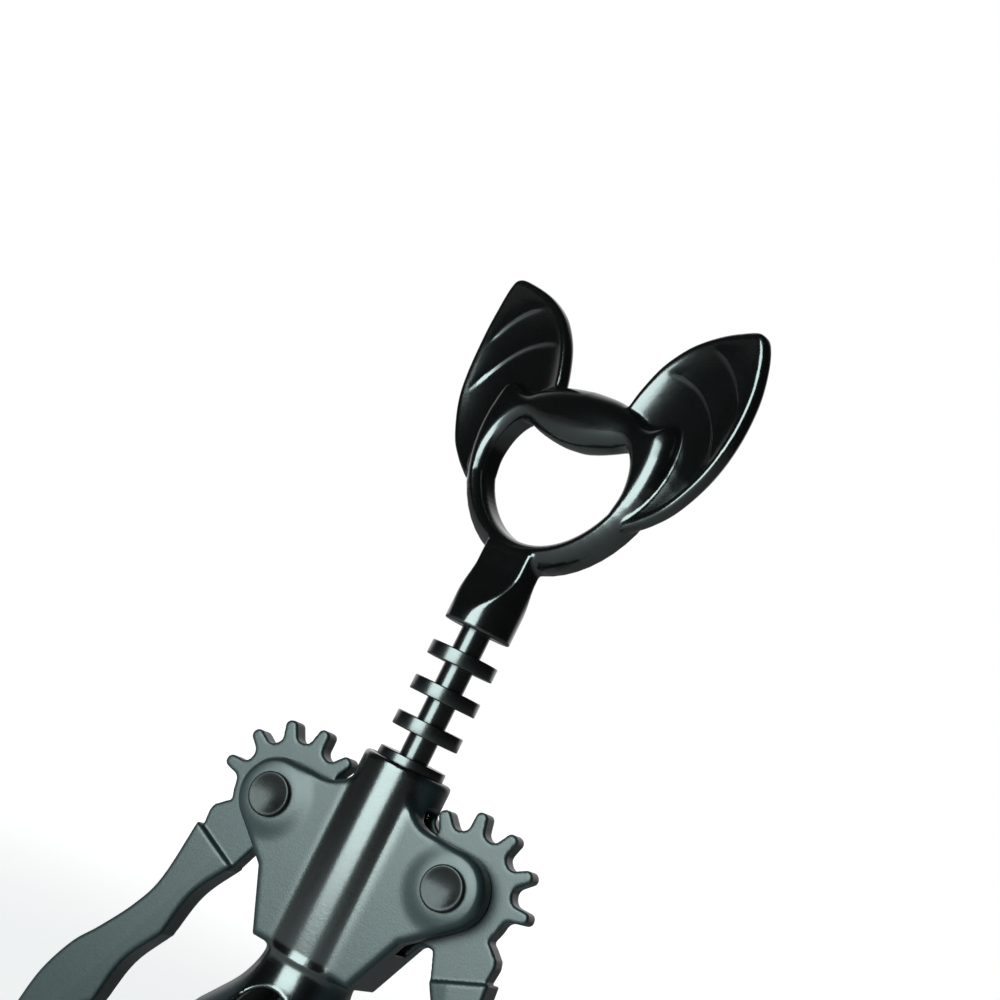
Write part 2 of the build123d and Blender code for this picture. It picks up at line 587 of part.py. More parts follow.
def horn(side):
    """A small pointed shoulder on top of the ring's limb."""
    with BuildPart() as piece:
        with BuildSketch(head_plane.offset(-RING_SET_BACK)) as outline:
            with BuildLine():
                foot = SADDLE[1] - HORN_FOOT
                Polyline(head_point(side * HORN[0], HORN[1]),
                         head_point(side * SADDLE[0], SADDLE[1] - HORN_FOOT / 2),
                         head_point(side * SADDLE[0], foot),
                         head_point(side * (RING_RADIUS - HORN_FOOT / 4), foot), close=True)
            make_face()
            fillet(outline.vertices().group_by(Axis.Y)[-1], HORN_ROUND)
        extrude(amount=HORN_THICKNESS / 2, both=True)
        fillet(piece.faces().filter_by(Axis((0, 0, 0), head_plane.z_dir)).edges(), HORN_EDGE_ROUND)
    return piece


# The head: ring, brow and lip, ears and neck in one casting
with BuildPart() as opener_head:
    with BuildSketch(head_plane.offset(-RING_SET_BACK)) as ring:
        with BuildLine():
            cheek = (sqrt(RING_RADIUS**2 - SADDLE[1] ** 2), SADDLE[1])
            ThreePointArc(head_point(0, -RING_RADIUS), head_point(RING_RADIUS, 0), head_point(*cheek))
            Line(head_point(*cheek), head_point(*SADDLE))
            ThreePointArc(head_point(*SADDLE), head_point(SADDLE[0] / 2, BROW_TOP - BROW_SAG),
                          head_point(0, BROW_TOP))
            mirror(about=Plane.YZ)
        make_face()
        for corner in (cheek, SADDLE):
            fillet([v for v in ring.vertices() if abs(abs(v.X) - corner[0]) < TOUCH], RING_CORNER_ROUND)
        with BuildLine():
            limb = Vector(HOLE_HALF_WIDTH, -sqrt(HOLE_RADIUS**2 - HOLE_HALF_WIDTH**2))
            TangentArc(head_point(0, -HOLE_RADIUS), head_point(limb.X, limb.Y), tangent=(1, 0))
            stops = ((limb, Vector(-limb.Y, limb.X).normalized()), (Vector(*LOBE_TOP), Vector(-1, 0)),
                     (Vector(0, LIP_BOTTOM), Vector(-1, 0)))
            for (start, start_way), (end, end_way) in zip(stops, stops[1:]):
                middle, middle_way = biarc(start, start_way, end, end_way)
                TangentArc(head_point(start.X, start.Y), head_point(middle.X, middle.Y), tangent=start_way)
                TangentArc(head_point(middle.X, middle.Y), head_point(end.X, end.Y), tangent=middle_way)
            mirror(about=Plane.YZ)
        make_face(mode=Mode.SUBTRACT)
    extrude(amount=RING_THICKNESS / 2, both=True)
    facing = Axis((0, 0, 0), head_plane.z_dir)
    fillet(opener_head.faces().filter_by(facing).edges(), RING_ROUND)
    for name, side in SIDES:
        add(horn(side).part)
    with BuildSketch(head_plane.offset(-RING_SET_BACK)):
        with Locations(head_point(0, BROW_RISE)):
            Ellipse(*BROW_BULGE)
            Rectangle(2 * BROW_BULGE[0], BROW_BULGE[1], align=(Align.CENTER, Align.MAX), mode=Mode.SUBTRACT)
    brow_line = head_plane.offset(-RING_SET_BACK).from_local_coords((0, ring_centre + BROW_RISE, 0))
    revolve(axis=Axis(brow_line, head_plane.x_dir))
    add(neck.part)
    for name, side in SIDES:
        add(ear(side).part)
    with BuildSketch(Plane.XY.offset(neck_base)):
        Circle(RACK_ROOT_RADIUS + RUNNING_CLEARANCE)
    extrude(amount=SLEEVE_SOCKET, mode=Mode.SUBTRACT)
    with BuildSketch(Plane.XY.offset(neck_base)):
        Circle(WIRE_RADIUS + SEAT_CLEARANCE)
    extrude(amount=SHANK_SOCKET, mode=Mode.SUBTRACT)
    with BuildSketch(head_plane.offset(-NECK_RADIUS)):
        with Locations((0, neck_base + PIN_RISE)):
            Circle(PIN_RADIUS + SEAT_CLEARANCE)
    extrude(amount=NECK_RADIUS + PIN_REACH, mode=Mode.SUBTRACT)
write(opener_head, "opener_head")

# The pin through neck and shank, flush with the scooped back
with BuildPart() as head_pin:
    with BuildSketch(head_plane.offset(-PIN_REACH)):
        with Locations((0, neck_base + PIN_RISE)):
            Circle(PIN_RADIUS)
    extrude(amount=2 * PIN_REACH - SEAT_CLEARANCE)
write(head_pin, "head_pin")
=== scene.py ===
import json
from math import cos, pi, radians, sin, sqrt, tan

import bpy
import numpy as np
from mathutils import Matrix, Vector


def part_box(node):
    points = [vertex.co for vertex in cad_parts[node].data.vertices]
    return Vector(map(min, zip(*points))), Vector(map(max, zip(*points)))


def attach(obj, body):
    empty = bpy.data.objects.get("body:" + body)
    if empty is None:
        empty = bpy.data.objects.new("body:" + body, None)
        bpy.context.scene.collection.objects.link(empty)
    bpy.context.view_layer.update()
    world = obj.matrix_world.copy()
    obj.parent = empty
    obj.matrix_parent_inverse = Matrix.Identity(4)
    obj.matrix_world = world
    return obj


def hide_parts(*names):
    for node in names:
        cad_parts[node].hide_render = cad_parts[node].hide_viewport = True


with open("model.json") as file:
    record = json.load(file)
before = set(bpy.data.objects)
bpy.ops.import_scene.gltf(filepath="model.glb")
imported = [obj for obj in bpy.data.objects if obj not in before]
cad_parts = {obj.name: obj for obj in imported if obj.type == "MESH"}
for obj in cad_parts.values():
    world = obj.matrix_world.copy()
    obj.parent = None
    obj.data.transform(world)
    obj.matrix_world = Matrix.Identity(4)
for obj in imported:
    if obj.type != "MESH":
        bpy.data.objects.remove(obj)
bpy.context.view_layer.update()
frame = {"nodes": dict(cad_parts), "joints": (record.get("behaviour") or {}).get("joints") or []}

bl_info = {
    "name": "Winged corkscrew",
    "version": (1, 0, 0),
    "blender": (4, 5, 0),
    "location": "3D View > Sidebar > Corkscrew",
    "description": "Makes the castings, rack, worm, finishes and stage of a winged corkscrew",
    "category": "Object",
}

MM = 0.001
NODES = frame["nodes"]
PIVOT = Vector(next(j["pos_m"] for j in frame["joints"] if j["name"] == "right_lever_pivot"))
NECK_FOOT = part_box("opener_head")[0].z
BARREL_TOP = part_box("frame")[1].z

# Outlines of the head in millimetres from the centre of its ring: across, then up. Each is its right half.
BROW = ((24.0, 4.0), (23.5, 6.4), (22.5, 8.5), (21.0, 9.4), (19.2, 8.9), (17.2, 8.2), (14.8, 8.4),
        (11.6, 9.7), (6.6, 11.1), (0, 11.6))
LIP = ((17.2, -9.4), (17.9, -5.2), (16.9, -0.8), (14.6, 2.2), (11.6, 3.1), (8.6, 2.5), (5.0, 1.2),
       (2.2, 0.5), (0, 0.4))
EAR_INNER_EDGE = ((8.2, 6.5), (9.0, 9.8), (10.3, 14.1), (12.6, 19.0), (15.6, 22.8), (18.8, 25.4),
                  (23.3, 27.6), (28.4, 28.9), (31.6, 29.1))
EAR_OUTER_EDGE = ((33.3, 27.6), (34.7, 23.4), (35.6, 17.0), (35.2, 9.0), (33.4, 2.0), (29.6, -4.8),
                  (25.6, -8.8), (21.3, -11.7))
EAR_SEAT = ((19.6, -8.2), (20.6, 3.0), (7.0, 5.0))
EAR_MIDDLE = (21.8, 8.0)
RING_ARC, HOLE_ARC = (-90, 6), (-90, -32)
HEAD_LOW, HEAD_HIGH = (-38, -8), (38, 12, 31)

# The swelling of the brow, and the blends of the head, in millimetres.
BROW_RISE, BROW_RADII = 5.3, (14.5, 4.4, 5.2)
BROW_JOIN, EAR_JOIN, NECK_JOIN = 1.6, 0.6, 0.9
NECK_OVERLAP, FOOT_ROUND = 3, 0.4

# An ear's hollow rises with this power of the way to its rim. Its folds are in millimetres along the ear.
EAR_POWER, EAR_LAST = 2.9, 1.1
FOLDS = (8.7, 16.1)
FOLD_CREST, FOLD_BOW = -4.0, 33.0
FOLD_STEEP, FOLD_GENTLE = 0.45, 1.6
FOLD_FADE = (1.5, 4.5)

# Outlines of the frame in millimetres: out from the worm's axis, then up. They run past axis and ends.
BELL_SIDE = ((18.0, 27.0), (17.7, 31.0), (16.2, 35.5), (13.4, 39.5), (10.6, 43.5), (9.0, 47.5), (8.5, 51.0))
BELL_INSIDE = ((13.6, 30.0), (13.3, 33.5), (12.0, 37.0), (10.2, 40.5), (8.4, 44.0), (7.3, 47.0), (7.0, 48.8))
PAST_AXIS, PAST_END = -3, 5
LOBE_ARC, WEB_ARC = (-50, 90), (270, 180)
BARREL_ROUND, BARREL_JOIN, BELL_JOIN = 0.8, 0.8, 1.5
BORE_BREAK, POCKET_BREAK, WINDOW_BREAK = 0.4, 0.5, 0.6

# Outlines of a lever in millimetres: along it from the pivot, then outwards from the frame.
LEVER_ARM = ((0, -3.1), (16.5, -3.1), (16.5, 6.8), (15.2, 7.1), (12.6, 8.5), (11.2, 8.7), (9.0, 7.6),
             (6.6, 6.1), (0, 6.0))
WING_OUTER_EDGE = ((70.5, 2.3), (70.0, 3.2), (68.5, 4.0), (64.0, 5.8), (56.0, 7.6), (48.0, 7.5),
                   (42.0, 6.0), (34.0, 4.5), (26.8, 4.6), (15.2, 8.0))
WING_INNER_EDGES = (((15.2, -3.1), (24.2, -1.75), (33.2, -3.4)), ((33.2, -3.4), (42.2, -2.2), (51.2, -4.0)),
                    ((51.2, -4.0), (57.5, -1.3), (64.0, 0.7), (70.0, 1.5)))
TOOTH_FOOT, TOOTH_CROWN, TOOTH_JOIN = 6, 0.9, 1.2
ARM_JOIN, WING_JOIN = 0.6, 0.3
HUB_ROUND, WING_ROUND, HOLE_BREAK = 0.35, 0.6, 0.2
CREASE_WIDTH, CREASE_LAST = 3.75, 1.3

# The rack's rings, the worm's wire and the rivets: how finely they are turned, and their ends.
RING_STEPS, FILLET_STEPS, WIRE_STEPS, RIVET_STEPS = 96, 5, 32, 72
BEND_STEPS, TURN_STEPS = 12, 32
COLLAR_GAP, LEAD_TURN = 0.3, 0.7
POINT_POWER, POINT_LEAST = 0.6, 0.06
DISH_STEPS, ROUND_STEPS, DISH_EDGE = 9, 6, 1.5
CREASE, WIRE_CREASE = 40, 50
QUARTER_TURN = (0.0, 0.0, radians(90))

# Scale and detail of the noises in a coating, and the height of its orange peel in millimetres.
MOTTLE, CLOUDS, SPECKS, PEEL = (160.0, 3.0), (55.0, 2.0), (900.0, 2.0), (2600.0, 1.0)
SPECK_HEIGHT, PEEL_DEPTH = 0.6, 0.2

# The camera in millimetres, the floor in metres, and the way to the white backdrop.
CAMERA_PLACE, CAMERA_AIM = (142.1, -313.2, 101.5), (-6.2, -2.96, 139.9)
CLIP_START, FLOOR_REACH, FLOOR_GLOSS = 0.01, 3.0, 0.9
BACKDROP_WAY = (-0.43, 0.9, 0.1)
WHITE = (1, 1, 1, 1)


def length(name, description, millimetres):
    """A size, shown in the sidebar in the scene's own unit."""
    return bpy.props.FloatProperty(name=name, description=description, default=millimetres * MM,
                                   unit="LENGTH", precision=5)


def angle(name, description, degrees):
    """A turn, shown in the sidebar in degrees."""
    return bpy.props.FloatProperty(name=name, description=description, default=radians(degrees),
                                   subtype="ANGLE")


def colour(name, description, value):
    """A colour, written as linear red, green and blue."""
    return bpy.props.FloatVectorProperty(name=name, description=description, default=(*value, 1.0), size=4,
                                         min=0.0, max=1.0, subtype="COLOR")


def factor(name, description, value):
    """A plain number."""
    return bpy.props.FloatProperty(name=name, description=description, default=value)


def amount(name, description, value):
    """A number of things."""
    return bpy.props.IntProperty(name=name, description=description, default=value, min=1)


class HeadSizes(bpy.types.PropertyGroup):
    """Sizes of the ring, ears and neck"""

    spin: angle("Spin", "How far the head is turned about the worm's axis", -21.3)
    ring_rise: length("Ring rise", "Centre of the ring above the foot of the neck", 37.85)
    ring_radius: length("Ring radius", "Outside radius of the ring", 24.4)
    hole_radius: length("Hole radius", "Radius of the hole's lower part", 19.6)
    ring_thickness: length("Ring thickness", "From the ring's front to its back", 6.0)
    ring_shoulder: length("Ring shoulder", "Rounding of the ring's outer edge at the front", 4.0)
    ring_round: length("Ring round", "Rounding of the ring's inner edge at the front", 2.6)
    ring_back_round: length("Ring back round", "Rounding of the ring's edges at the back", 1.0)
    set_back: length("Set back", "How far the ring lies behind the worm's axis", 0.8)
    ear_thickness: length("Ear thickness", "Thickness of an ear's shell", 3.3)
    ear_depth: length("Ear depth", "How far the hollow of an ear lies behind the worm's axis", 1.5)
    ear_half_width: length("Ear half width", "From the middle of an ear's hollow to its rim", 12.0)
    ear_hollow: length("Ear hollow", "How far the rim stands in front of the middle of the hollow", 1.9)
    ear_long: length("Ear long radius", "Radius of an ear's hollow, along its upper half", 80.0)
    ear_curl: length("Ear curl radius", "Radius of an ear's hollow, along its lower half", 70.0)
    ear_lean: angle("Ear lean", "How far an ear leans outwards", 22.0)
    ear_round: length("Ear round", "Rounding of an ear's rim", 1.3)
    fold_height: length("Fold height", "Height of the folds across an ear", 0.32)
    neck_radius: length("Neck radius", "Radius of the neck's foot", 6.45)
    neck_flat: length("Neck flat", "Half thickness of the neck at the ring", 2.4)
    neck_round: length("Neck round", "Rounding along the neck's flats", 0.5)
    scoop_foot: length("Scoop foot", "Where a flat runs out, above the foot of the neck", 1.0)
    scoop_top: length("Scoop top", "Where a flat is at its deepest, above the foot of the neck", 12.45)
    socket_radius: length("Socket radius", "Radius of the socket for the rack's sleeve", 2.85)
    socket_depth: length("Socket depth", "Depth of that socket", 5.4)


class FrameSizes(bpy.types.PropertyGroup):
    """Sizes of the barrel, cheeks and bell"""

    barrel_radius: length("Barrel radius", "Outside radius of the barrel", 8.5)
    bore_radius: length("Bore radius", "Radius of the barrel's bore", 7.0)
    cheek_inner: length("Cheek gap", "Half the gap between the cheeks", 2.5)
    cheek_outer: length("Cheek face", "From the middle to a cheek's outer face", 6.6)
    lobe_radius: length("Lobe radius", "Radius of the cheeks round the pivots", 7.1)
    web_round: length("Web round", "Rounding where the cheeks rise into the barrel", 6.5)
    foot_half_width: length("Foot", "Half width of the cheeks below the lobes", 15.6)
    foot_drop: length("Foot drop", "How far below the pivots that is", 12.0)
    waist_half_width: length("Waist", "Half width of the cheeks at the bell", 10.5)
    boss_radius: length("Boss radius", "Radius of the soft bosses round the rivets", 8.6)
    boss_flat: length("Boss flat", "Radius of the flat seat on those bosses", 4.2)
    boss_height: length("Boss height", "Height of those bosses", 0.6)
    pocket_radius: length("Pocket radius", "Radius of the room for a pinion", 15.12)
    mouth_radius: length("Mouth radius", "Radius of the bell's mouth", 15.8)
    mouth_depth: length("Mouth depth", "Depth of the mouth below the liner", 9.0)
    groove_radius: length("Groove radius", "Radius of the liner's groove", 16.3)
    groove_top: length("Groove top", "Height of the liner's groove", 12.2)
    window_half_width: length("Window", "Half width of the bell's windows", 5.5)
    window_foot: length("Window foot", "Lowest point of the windows", 17.0)
    window_top: length("Window top", "Highest point of the windows", 45.0)
    edge_round: length("Edge round", "Rounding of the casting's edges", 1.2)


class LeverSizes(bpy.types.PropertyGroup):
    """Sizes of the levers and their pinions"""

    splay: angle("Splay", "How far a lever hangs from straight down", 23.0)
    tip_radius: length("Tip radius", "Radius over a pinion's teeth", 14.42)
    root_radius: length("Root radius", "Radius between a pinion's teeth", 10.57)
    pitch_radius: length("Pitch radius", "Radius on which pinion and rack roll", 13.37)
    tooth_thickness: length("Tooth", "Thickness of a tooth on the pitch circle", 2.35)
    tooth_flank: angle("Flank", "Slope of a tooth's flank", 7.0)
    tooth_step: angle("Tooth step", "From one tooth to the next", 30.0)
    first_tooth: angle("First tooth", "Lowest tooth, upwards from the line to the rack", -36.5)
    tooth_count: amount("Teeth", "Number of teeth on a pinion", 8)
    hub_thickness: length("Hub thickness", "Thickness of the pinion", 4.0)
    wing_thickness: length("Wing thickness", "Thickness of the wing", 6.4)
    crease: length("Crease", "Where the wing's face is creased, outwards of the pivot", 0.65)
    crease_fall: length("Crease fall", "How much lower the face is at the inner edge", 0.45)
    hole_radius: length("Pivot hole", "Radius of the hole for the rivet", 2.55)


class RackSizes(bpy.types.PropertyGroup):
    """Sizes of the rack's sleeve and rings"""

    ring_radius: length("Ring radius", "Outside radius of a rack ring", 6.5)
    root_radius: length("Root radius", "Outside radius of the sleeve", 2.8)
    bore_radius: length("Bore radius", "Inside radius of the sleeve", 1.65)
    rim_thickness: length("Rim thickness", "Thickness of a ring at its rim", 2.3)
    root_thickness: length("Root thickness", "Thickness of a ring at the sleeve", 2.8)
    pitch: length("Pitch", "From one ring to the next", 7.0)
    neck_gap: length("Neck gap", "From the top ring to the foot of the neck", 4.7)
    ring_count: amount("Rings", "Number of rings", 8)
    edge_round: length("Edge round", "Rounding of a ring's edges", 0.25)


class WormSizes(bpy.types.PropertyGroup):
    """Sizes of the worm's wire and helix"""

    wire_radius: length("Wire radius", "Radius of the wire", 1.6)
    helix_radius: length("Helix radius", "From the worm's axis to the middle of the wire", 3.3)
    pitch: length("Pitch", "From one turn to the next", 8.8)
    turns: amount("Turns", "Number of turns", 4)
    lead_in: length("Lead-in", "Height of the bend from the axis to the helix", 6.5)
    shank_socket: length("Shank socket", "How far the shank reaches into the neck", 11.9)
    point_share: factor("Point", "Share of the wire that tapers to the point", 0.09)


class RivetSizes(bpy.types.PropertyGroup):
    """Sizes of the pivot rivets"""

    shank_radius: length("Shank radius", "Radius of the shank", 2.5)
    head_radius: length("Head radius", "Radius of the broad head", 4.1)
    head_thickness: length("Head thickness", "Thickness of that head", 1.0)
    dish: length("Dish", "How deep the middle of the head is sunk", 0.48)
    head_round: length("Head round", "Rounding of the head's edge", 0.33)
    tail_radius: length("Tail radius", "Radius of the closed tail", 3.2)
    tail_height: length("Tail height", "Height of that tail", 0.8)


class Finishes(bpy.types.PropertyGroup):
    """Colours of the finishes"""

    coat: colour("Coat", "Black coating on the head and barrel", (0.0014, 0.0017, 0.0018))
    # Cast faces: the black coat made brighter and blue-grey, partly a painted sheen that stands in for the
    # blue-grey reflection of the flat cheeks and levers.
    cast_coat_and_sheen: colour("Cast faces", "Black coating on the cheeks and levers", (0.01, 0.0186, 0.021))
    rack_coat: colour("Rack coat", "Black coating on the rack", (0.0014, 0.0017, 0.0019))
    rivet: colour("Rivet", "Blackened rivet", (0.009, 0.0088, 0.0085))
    worm: colour("Worm", "Low-friction coating on the worm", (0.018, 0.018, 0.02))
    steel: colour("Steel", "Plain steel of the collar, pin and thrust washer", (0.52, 0.53, 0.55))
    liner: colour("Liner", "Moulded plastic of the bell's liner", (0.02, 0.02, 0.02))
    washer: colour("Washer", "Thin plastic washers beside the pinions", (0.03, 0.03, 0.032))


class StageSettings(bpy.types.PropertyGroup):
    """Camera, light, floor and fineness"""

    lens: factor("Lens", "Focal length in millimetres", 68.22)
    roll: angle("Roll", "How far the camera is turned about its own axis", 26.44)
    detail: length("Detail", "Size of the cells from which the head and levers are made", 0.409)
    frame_detail: length("Frame detail", "Size of the cells from which the frame is made", 0.48)
    front_light: factor("Front light", "Power of the wide soft light at the front, in watts", 5.1)
    light_tint: colour("Light tint", "Colour of that light", (0.8, 1.0, 0.98))
    light_turn: angle("Light turn", "How far it stands round from the front", -11.5)
    light_distance: length("Light distance", "From the worm's axis to the light", 600.0)
    light_height: length("Light height", "Middle of the light above the floor", 200.0)
    light_width: length("Light width", "Width of the light", 473.0)
    light_rise: length("Light rise", "From the light's lower edge to its upper edge", 390.0)
    room: factor("Room", "Brightness of the room round the light", 0.02)
    floor: colour("Floor", "Pale floor", (0.7, 0.7, 0.7))


# Lines and fields


def curve_through(points, steps=8):
    """Points of one smooth curve through the given points."""
    path = np.asarray(points, float)
    path = np.vstack([2 * path[0] - path[1], path, 2 * path[-1] - path[-2]])
    share = np.linspace(0, 1, steps, endpoint=False)[:, None]
    runs = []
    for before, start, end, after in zip(path, path[1:], path[2:], path[3:]):
        bend = 2 * before - 5 * start + 4 * end - after
        twist = 3 * (start - end) + after - before
        runs.append(start + ((end - before) * share + bend * share**2 + twist * share**3) / 2)
    return np.vstack(runs + [path[-2:-1]])


def arc(centre, radius, start, end, steps=16):
    """Points of an arc, from one angle to another in degrees."""
    turns = np.radians(np.linspace(start, end, steps))
    return np.stack([centre[0] + radius * np.cos(turns), centre[1] + radius * np.sin(turns)], 1)


def mirrored(half):
    """A closed outline from its right half, which runs from the bottom to the top."""
    return np.vstack([half, half[::-1][1:-1] * (-1, 1)])


def outline_field(points, across, up):
    """Distance from a closed outline, negative inside it."""
    nearest = np.full(np.broadcast(across, up).shape, np.inf)
    inside = np.zeros(nearest.shape, bool)
    for (start_x, start_y), (end_x, end_y) in zip(points, np.roll(points, -1, axis=0)):
        run_x, run_y = end_x - start_x, end_y - start_y
        from_x, from_y = across - start_x, up - start_y
        share = np.clip((from_x * run_x + from_y * run_y) / (run_x**2 + run_y**2), 0, 1)
        nearest = np.minimum(nearest, (from_x - share * run_x) ** 2 + (from_y - share * run_y) ** 2)
        if run_y:
            inside ^= ((start_y > up) != (end_y > up)) & (from_x < run_x * from_y / run_y)
    return np.where(inside, -1, 1) * np.sqrt(nearest)


def joined(one, other, reach):
    """Two fields made one, with a soft fillet where they meet."""
    share = np.clip(0.5 + 0.5 * (other - one) / reach, 0, 1)
    return other + (one - other) * share - reach * share * (1 - share)


def cut(body, tool, reach):
    """A field with another taken out of it, the edge a little broken."""
    return -joined(-body, tool, reach)


def overlap(one, other, radius):
    """The space inside both fields, with a rounded edge between them."""
    one, other = one + radius, other + radius
    corner = np.hypot(np.maximum(one, 0), np.maximum(other, 0))
    return corner + np.minimum(np.maximum(one, other), 0) - radius


def eased(value, start, end):
    """A smooth rise from 0 to 1 between two values."""
    share = np.clip((value - start) / (end - start), 0, 1)
    return share * share * (3 - 2 * share)


def ellipsoid_field(x, y, z, radii):
    """Distance from an ellipsoid about the origin, near enough for blending."""
    near = np.sqrt((x / radii[0]) ** 2 + (y / radii[1]) ** 2 + (z / radii[2]) ** 2)
    slope = np.sqrt((x / radii[0] ** 2) ** 2 + (y / radii[1] ** 2) ** 2 + (z / radii[2] ** 2) ** 2)
    return near * (near - 1) / np.maximum(slope, 1e-9)


def settle(field, points, step, rounds=3, nudge_share=0.05, least_slope=0.05):
    """Moves points onto the surface of a field."""
    nudge = nudge_share * step
    for _ in range(rounds):
        here = field(*points.T)
        slope = np.stack([field(*(points + nudge * axis).T) - here for axis in np.eye(3)], 1) / nudge
        move = slope * (here / np.maximum((slope**2).sum(1), least_slope))[:, None]
        points = points - np.clip(move, -step / 2, step / 2)
    return points


def field_surface(field, low, high, step):
    """Points and faces of the surface on which a field is zero, with one point in each cell it crosses."""
    low = np.asarray(low, float)
    axes = [np.arange(start, end + step, step) for start, end in zip(low, high)]
    values = field(axes[0][:, None, None], axes[1][None, :, None], axes[2][None, None, :])
    inside = values < 0
    shape = np.array(values.shape) - 1
    corners = [np.array((i, j, k)) for i in (0, 1) for j in (0, 1) for k in (0, 1)]
    filled = sum(inside[tuple(slice(c, c + n) for c, n in zip(corner, shape))].astype(np.int8)
                 for corner in corners)
    mixed = (filled > 0) & (filled < len(corners))
    number = np.full(shape, -1)
    number[mixed] = np.arange(mixed.sum())
    cells = np.argwhere(mixed)
    total, count = np.zeros(cells.shape), np.zeros(len(cells))
    ways = np.eye(3, dtype=int)
    for corner in corners:
        for way in ways[corner == 0]:
            start, end = values[tuple((cells + corner).T)], values[tuple((cells + corner + way).T)]
            crossed = (start < 0) != (end < 0)
            share = start[crossed] / (start[crossed] - end[crossed])
            total[crossed] += corner + share[:, None] * way
            count += crossed
    points = low + step * (cells + total / count[:, None])
    faces = []
    for axis, ahead in enumerate(ways):
        one, two = ways[(axis + 1) % 3], ways[(axis + 2) % 3]
        grid = np.argwhere(inside[tuple(slice(0, n + 1 - a) for n, a in zip(shape, ahead))]
                           != inside[tuple(slice(a, None) for a in ahead)])
        grid = grid[(grid[:, (axis + 1) % 3] > 0) & (grid[:, (axis + 2) % 3] > 0)]
        grid = grid[(grid < shape).all(1)]
        quad = np.stack([number[tuple((grid - back).T)] for back in (0 * one, one, one + two, two)], 1)
        outwards = inside[tuple(grid.T)]
        faces.append(np.where(outwards[:, None], quad, quad[:, ::-1]))
    return settle(field, points, step), np.vstack(faces)


def casting(name, points, faces, material):
    """A smooth mesh object from the points and faces of a surface."""
    mesh = bpy.data.meshes.new(name)
    mesh.from_pydata(points.tolist(), [], faces.tolist())
    mesh.validate()
    mesh.shade_smooth()
    return placed(name, mesh, material)


def placed(name, mesh, material):
    """Links a mesh to the scene as one piece with one material."""
    piece = bpy.data.objects.new(name, mesh)
    mesh.materials.clear()
    mesh.materials.append(material)
    bpy.context.scene.collection.objects.link(piece)
    return piece


def seated(piece, body, slot, *nodes):
    """Hangs a piece on the body it moves with, and hides the nodes it stands for."""
    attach(piece, body)
    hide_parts(*nodes)


# Finishes


def node_group(name, inputs, outputs):
    """An empty shader node group with named sockets, and its two ends."""
    group = bpy.data.node_groups.new(name, "ShaderNodeTree")
    for label, kind, default in inputs:
        socket = group.interface.new_socket(label, in_out="INPUT", socket_type=kind)
        socket.default_value = default
    for label, kind in outputs:
        group.interface.new_socket(label, in_out="OUTPUT", socket_type=kind)
    return group, group.nodes.new("NodeGroupInput"), group.nodes.new("NodeGroupOutput")


def fill(tree, socket, value):
    """Links a socket to another, or sets it to a value."""
    if isinstance(value, bpy.types.NodeSocket):
        tree.links.new(value, socket)
    else:
        socket.default_value = value


def wired(tree, node, **inputs):
    """Fills a node's inputs by name, with words joined by underscores; the node."""
    for label, value in inputs.items():
        fill(tree, next(s for s in node.inputs if s.name.replace(" ", "_") == label and s.enabled), value)
    return node


def new_node(tree, kind, settings=None, **inputs):
    """A node with its settings made and its inputs filled."""
    node = tree.nodes.new(kind)
    for label, value in (settings or {}).items():
        setattr(node, label, value)
    return wired(tree, node, **inputs)


def math_node(tree, operation, *values, kind="ShaderNodeMath"):
    """A math node whose inputs are sockets or values; its number."""
    node = new_node(tree, kind, {"operation": operation})
    for socket, value in zip(node.inputs, values):
        fill(tree, socket, value)
    return node.outputs["Value"]


def range_node(tree, value, low, high, least=0.0, most=1.0):
    """A smooth rise from the least to the most while a value goes from low to high; its output."""
    return new_node(tree, "ShaderNodeMapRange", {"interpolation_type": "SMOOTHSTEP"}, Value=value,
                    From_Min=low, From_Max=high, To_Min=least, To_Max=most).outputs["Result"]


def place_node(tree, kind="Object"):
    """Texture coordinates of one kind."""
    return tree.nodes.new("ShaderNodeTexCoord").outputs[kind]


def coat_grain():
    """Grain of a baked coating: faint mottling, cloudy gloss and a fine orange-peel height."""
    found = bpy.data.node_groups.get("Coat grain")
    if found:
        return found
    group, start, end = node_group(
        "Coat grain",
        [("Colour", "NodeSocketColor", (0.01, 0.01, 0.01, 1)), ("Gloss", "NodeSocketFloat", 0.3),
         ("Mottle", "NodeSocketFloat", 0.2), ("Clouds", "NodeSocketFloat", 0.1)],
        [("Colour", "NodeSocketColor"), ("Roughness", "NodeSocketFloat"), ("Height", "NodeSocketFloat")])
    place = place_node(group)
    mottle, clouds, specks, peel = [
        new_node(group, "ShaderNodeTexNoise", Vector=place, Scale=scale, Detail=detail).outputs["Fac"]
        for scale, detail in (MOTTLE, CLOUDS, SPECKS, PEEL)]

    def spread(noise, strength):
        return math_node(group, "MULTIPLY", math_node(group, "SUBTRACT", noise, 0.5), start.outputs[strength])

    shade = new_node(group, "ShaderNodeHueSaturation", Color=start.outputs["Colour"],
                     Value=math_node(group, "ADD", 1.0, spread(mottle, "Mottle")))
    cloudy = math_node(group, "ADD", start.outputs["Gloss"], spread(clouds, "Clouds"))
    wired(group, end, Colour=shade.outputs["Color"],
          Roughness=math_node(group, "ADD", cloudy, spread(specks, "Clouds")),
          Height=math_node(group, "ADD", peel, math_node(group, "MULTIPLY", specks, SPECK_HEIGHT)))
    return group


def finish(name, shade, gloss, mottle=0.2, clouds=0.05, metal=0.0, bump=0.04, index=1.9):
    """A material with the coat's grain, in its own colour and gloss."""
    material = bpy.data.materials.new(name)
    material.use_nodes = True
    tree = material.node_tree
    grain = new_node(tree, "ShaderNodeGroup", {"node_tree": coat_grain()}, Colour=shade, Gloss=gloss,
                     Mottle=mottle, Clouds=clouds).outputs
    height = new_node(tree, "ShaderNodeBump", Strength=bump, Distance=PEEL_DEPTH * MM, Height=grain["Height"])
    wired(tree, tree.nodes["Principled BSDF"], Base_Color=grain["Colour"], Roughness=grain["Roughness"],
          Normal=height.outputs["Normal"], Metallic=metal, IOR=index)
    return material


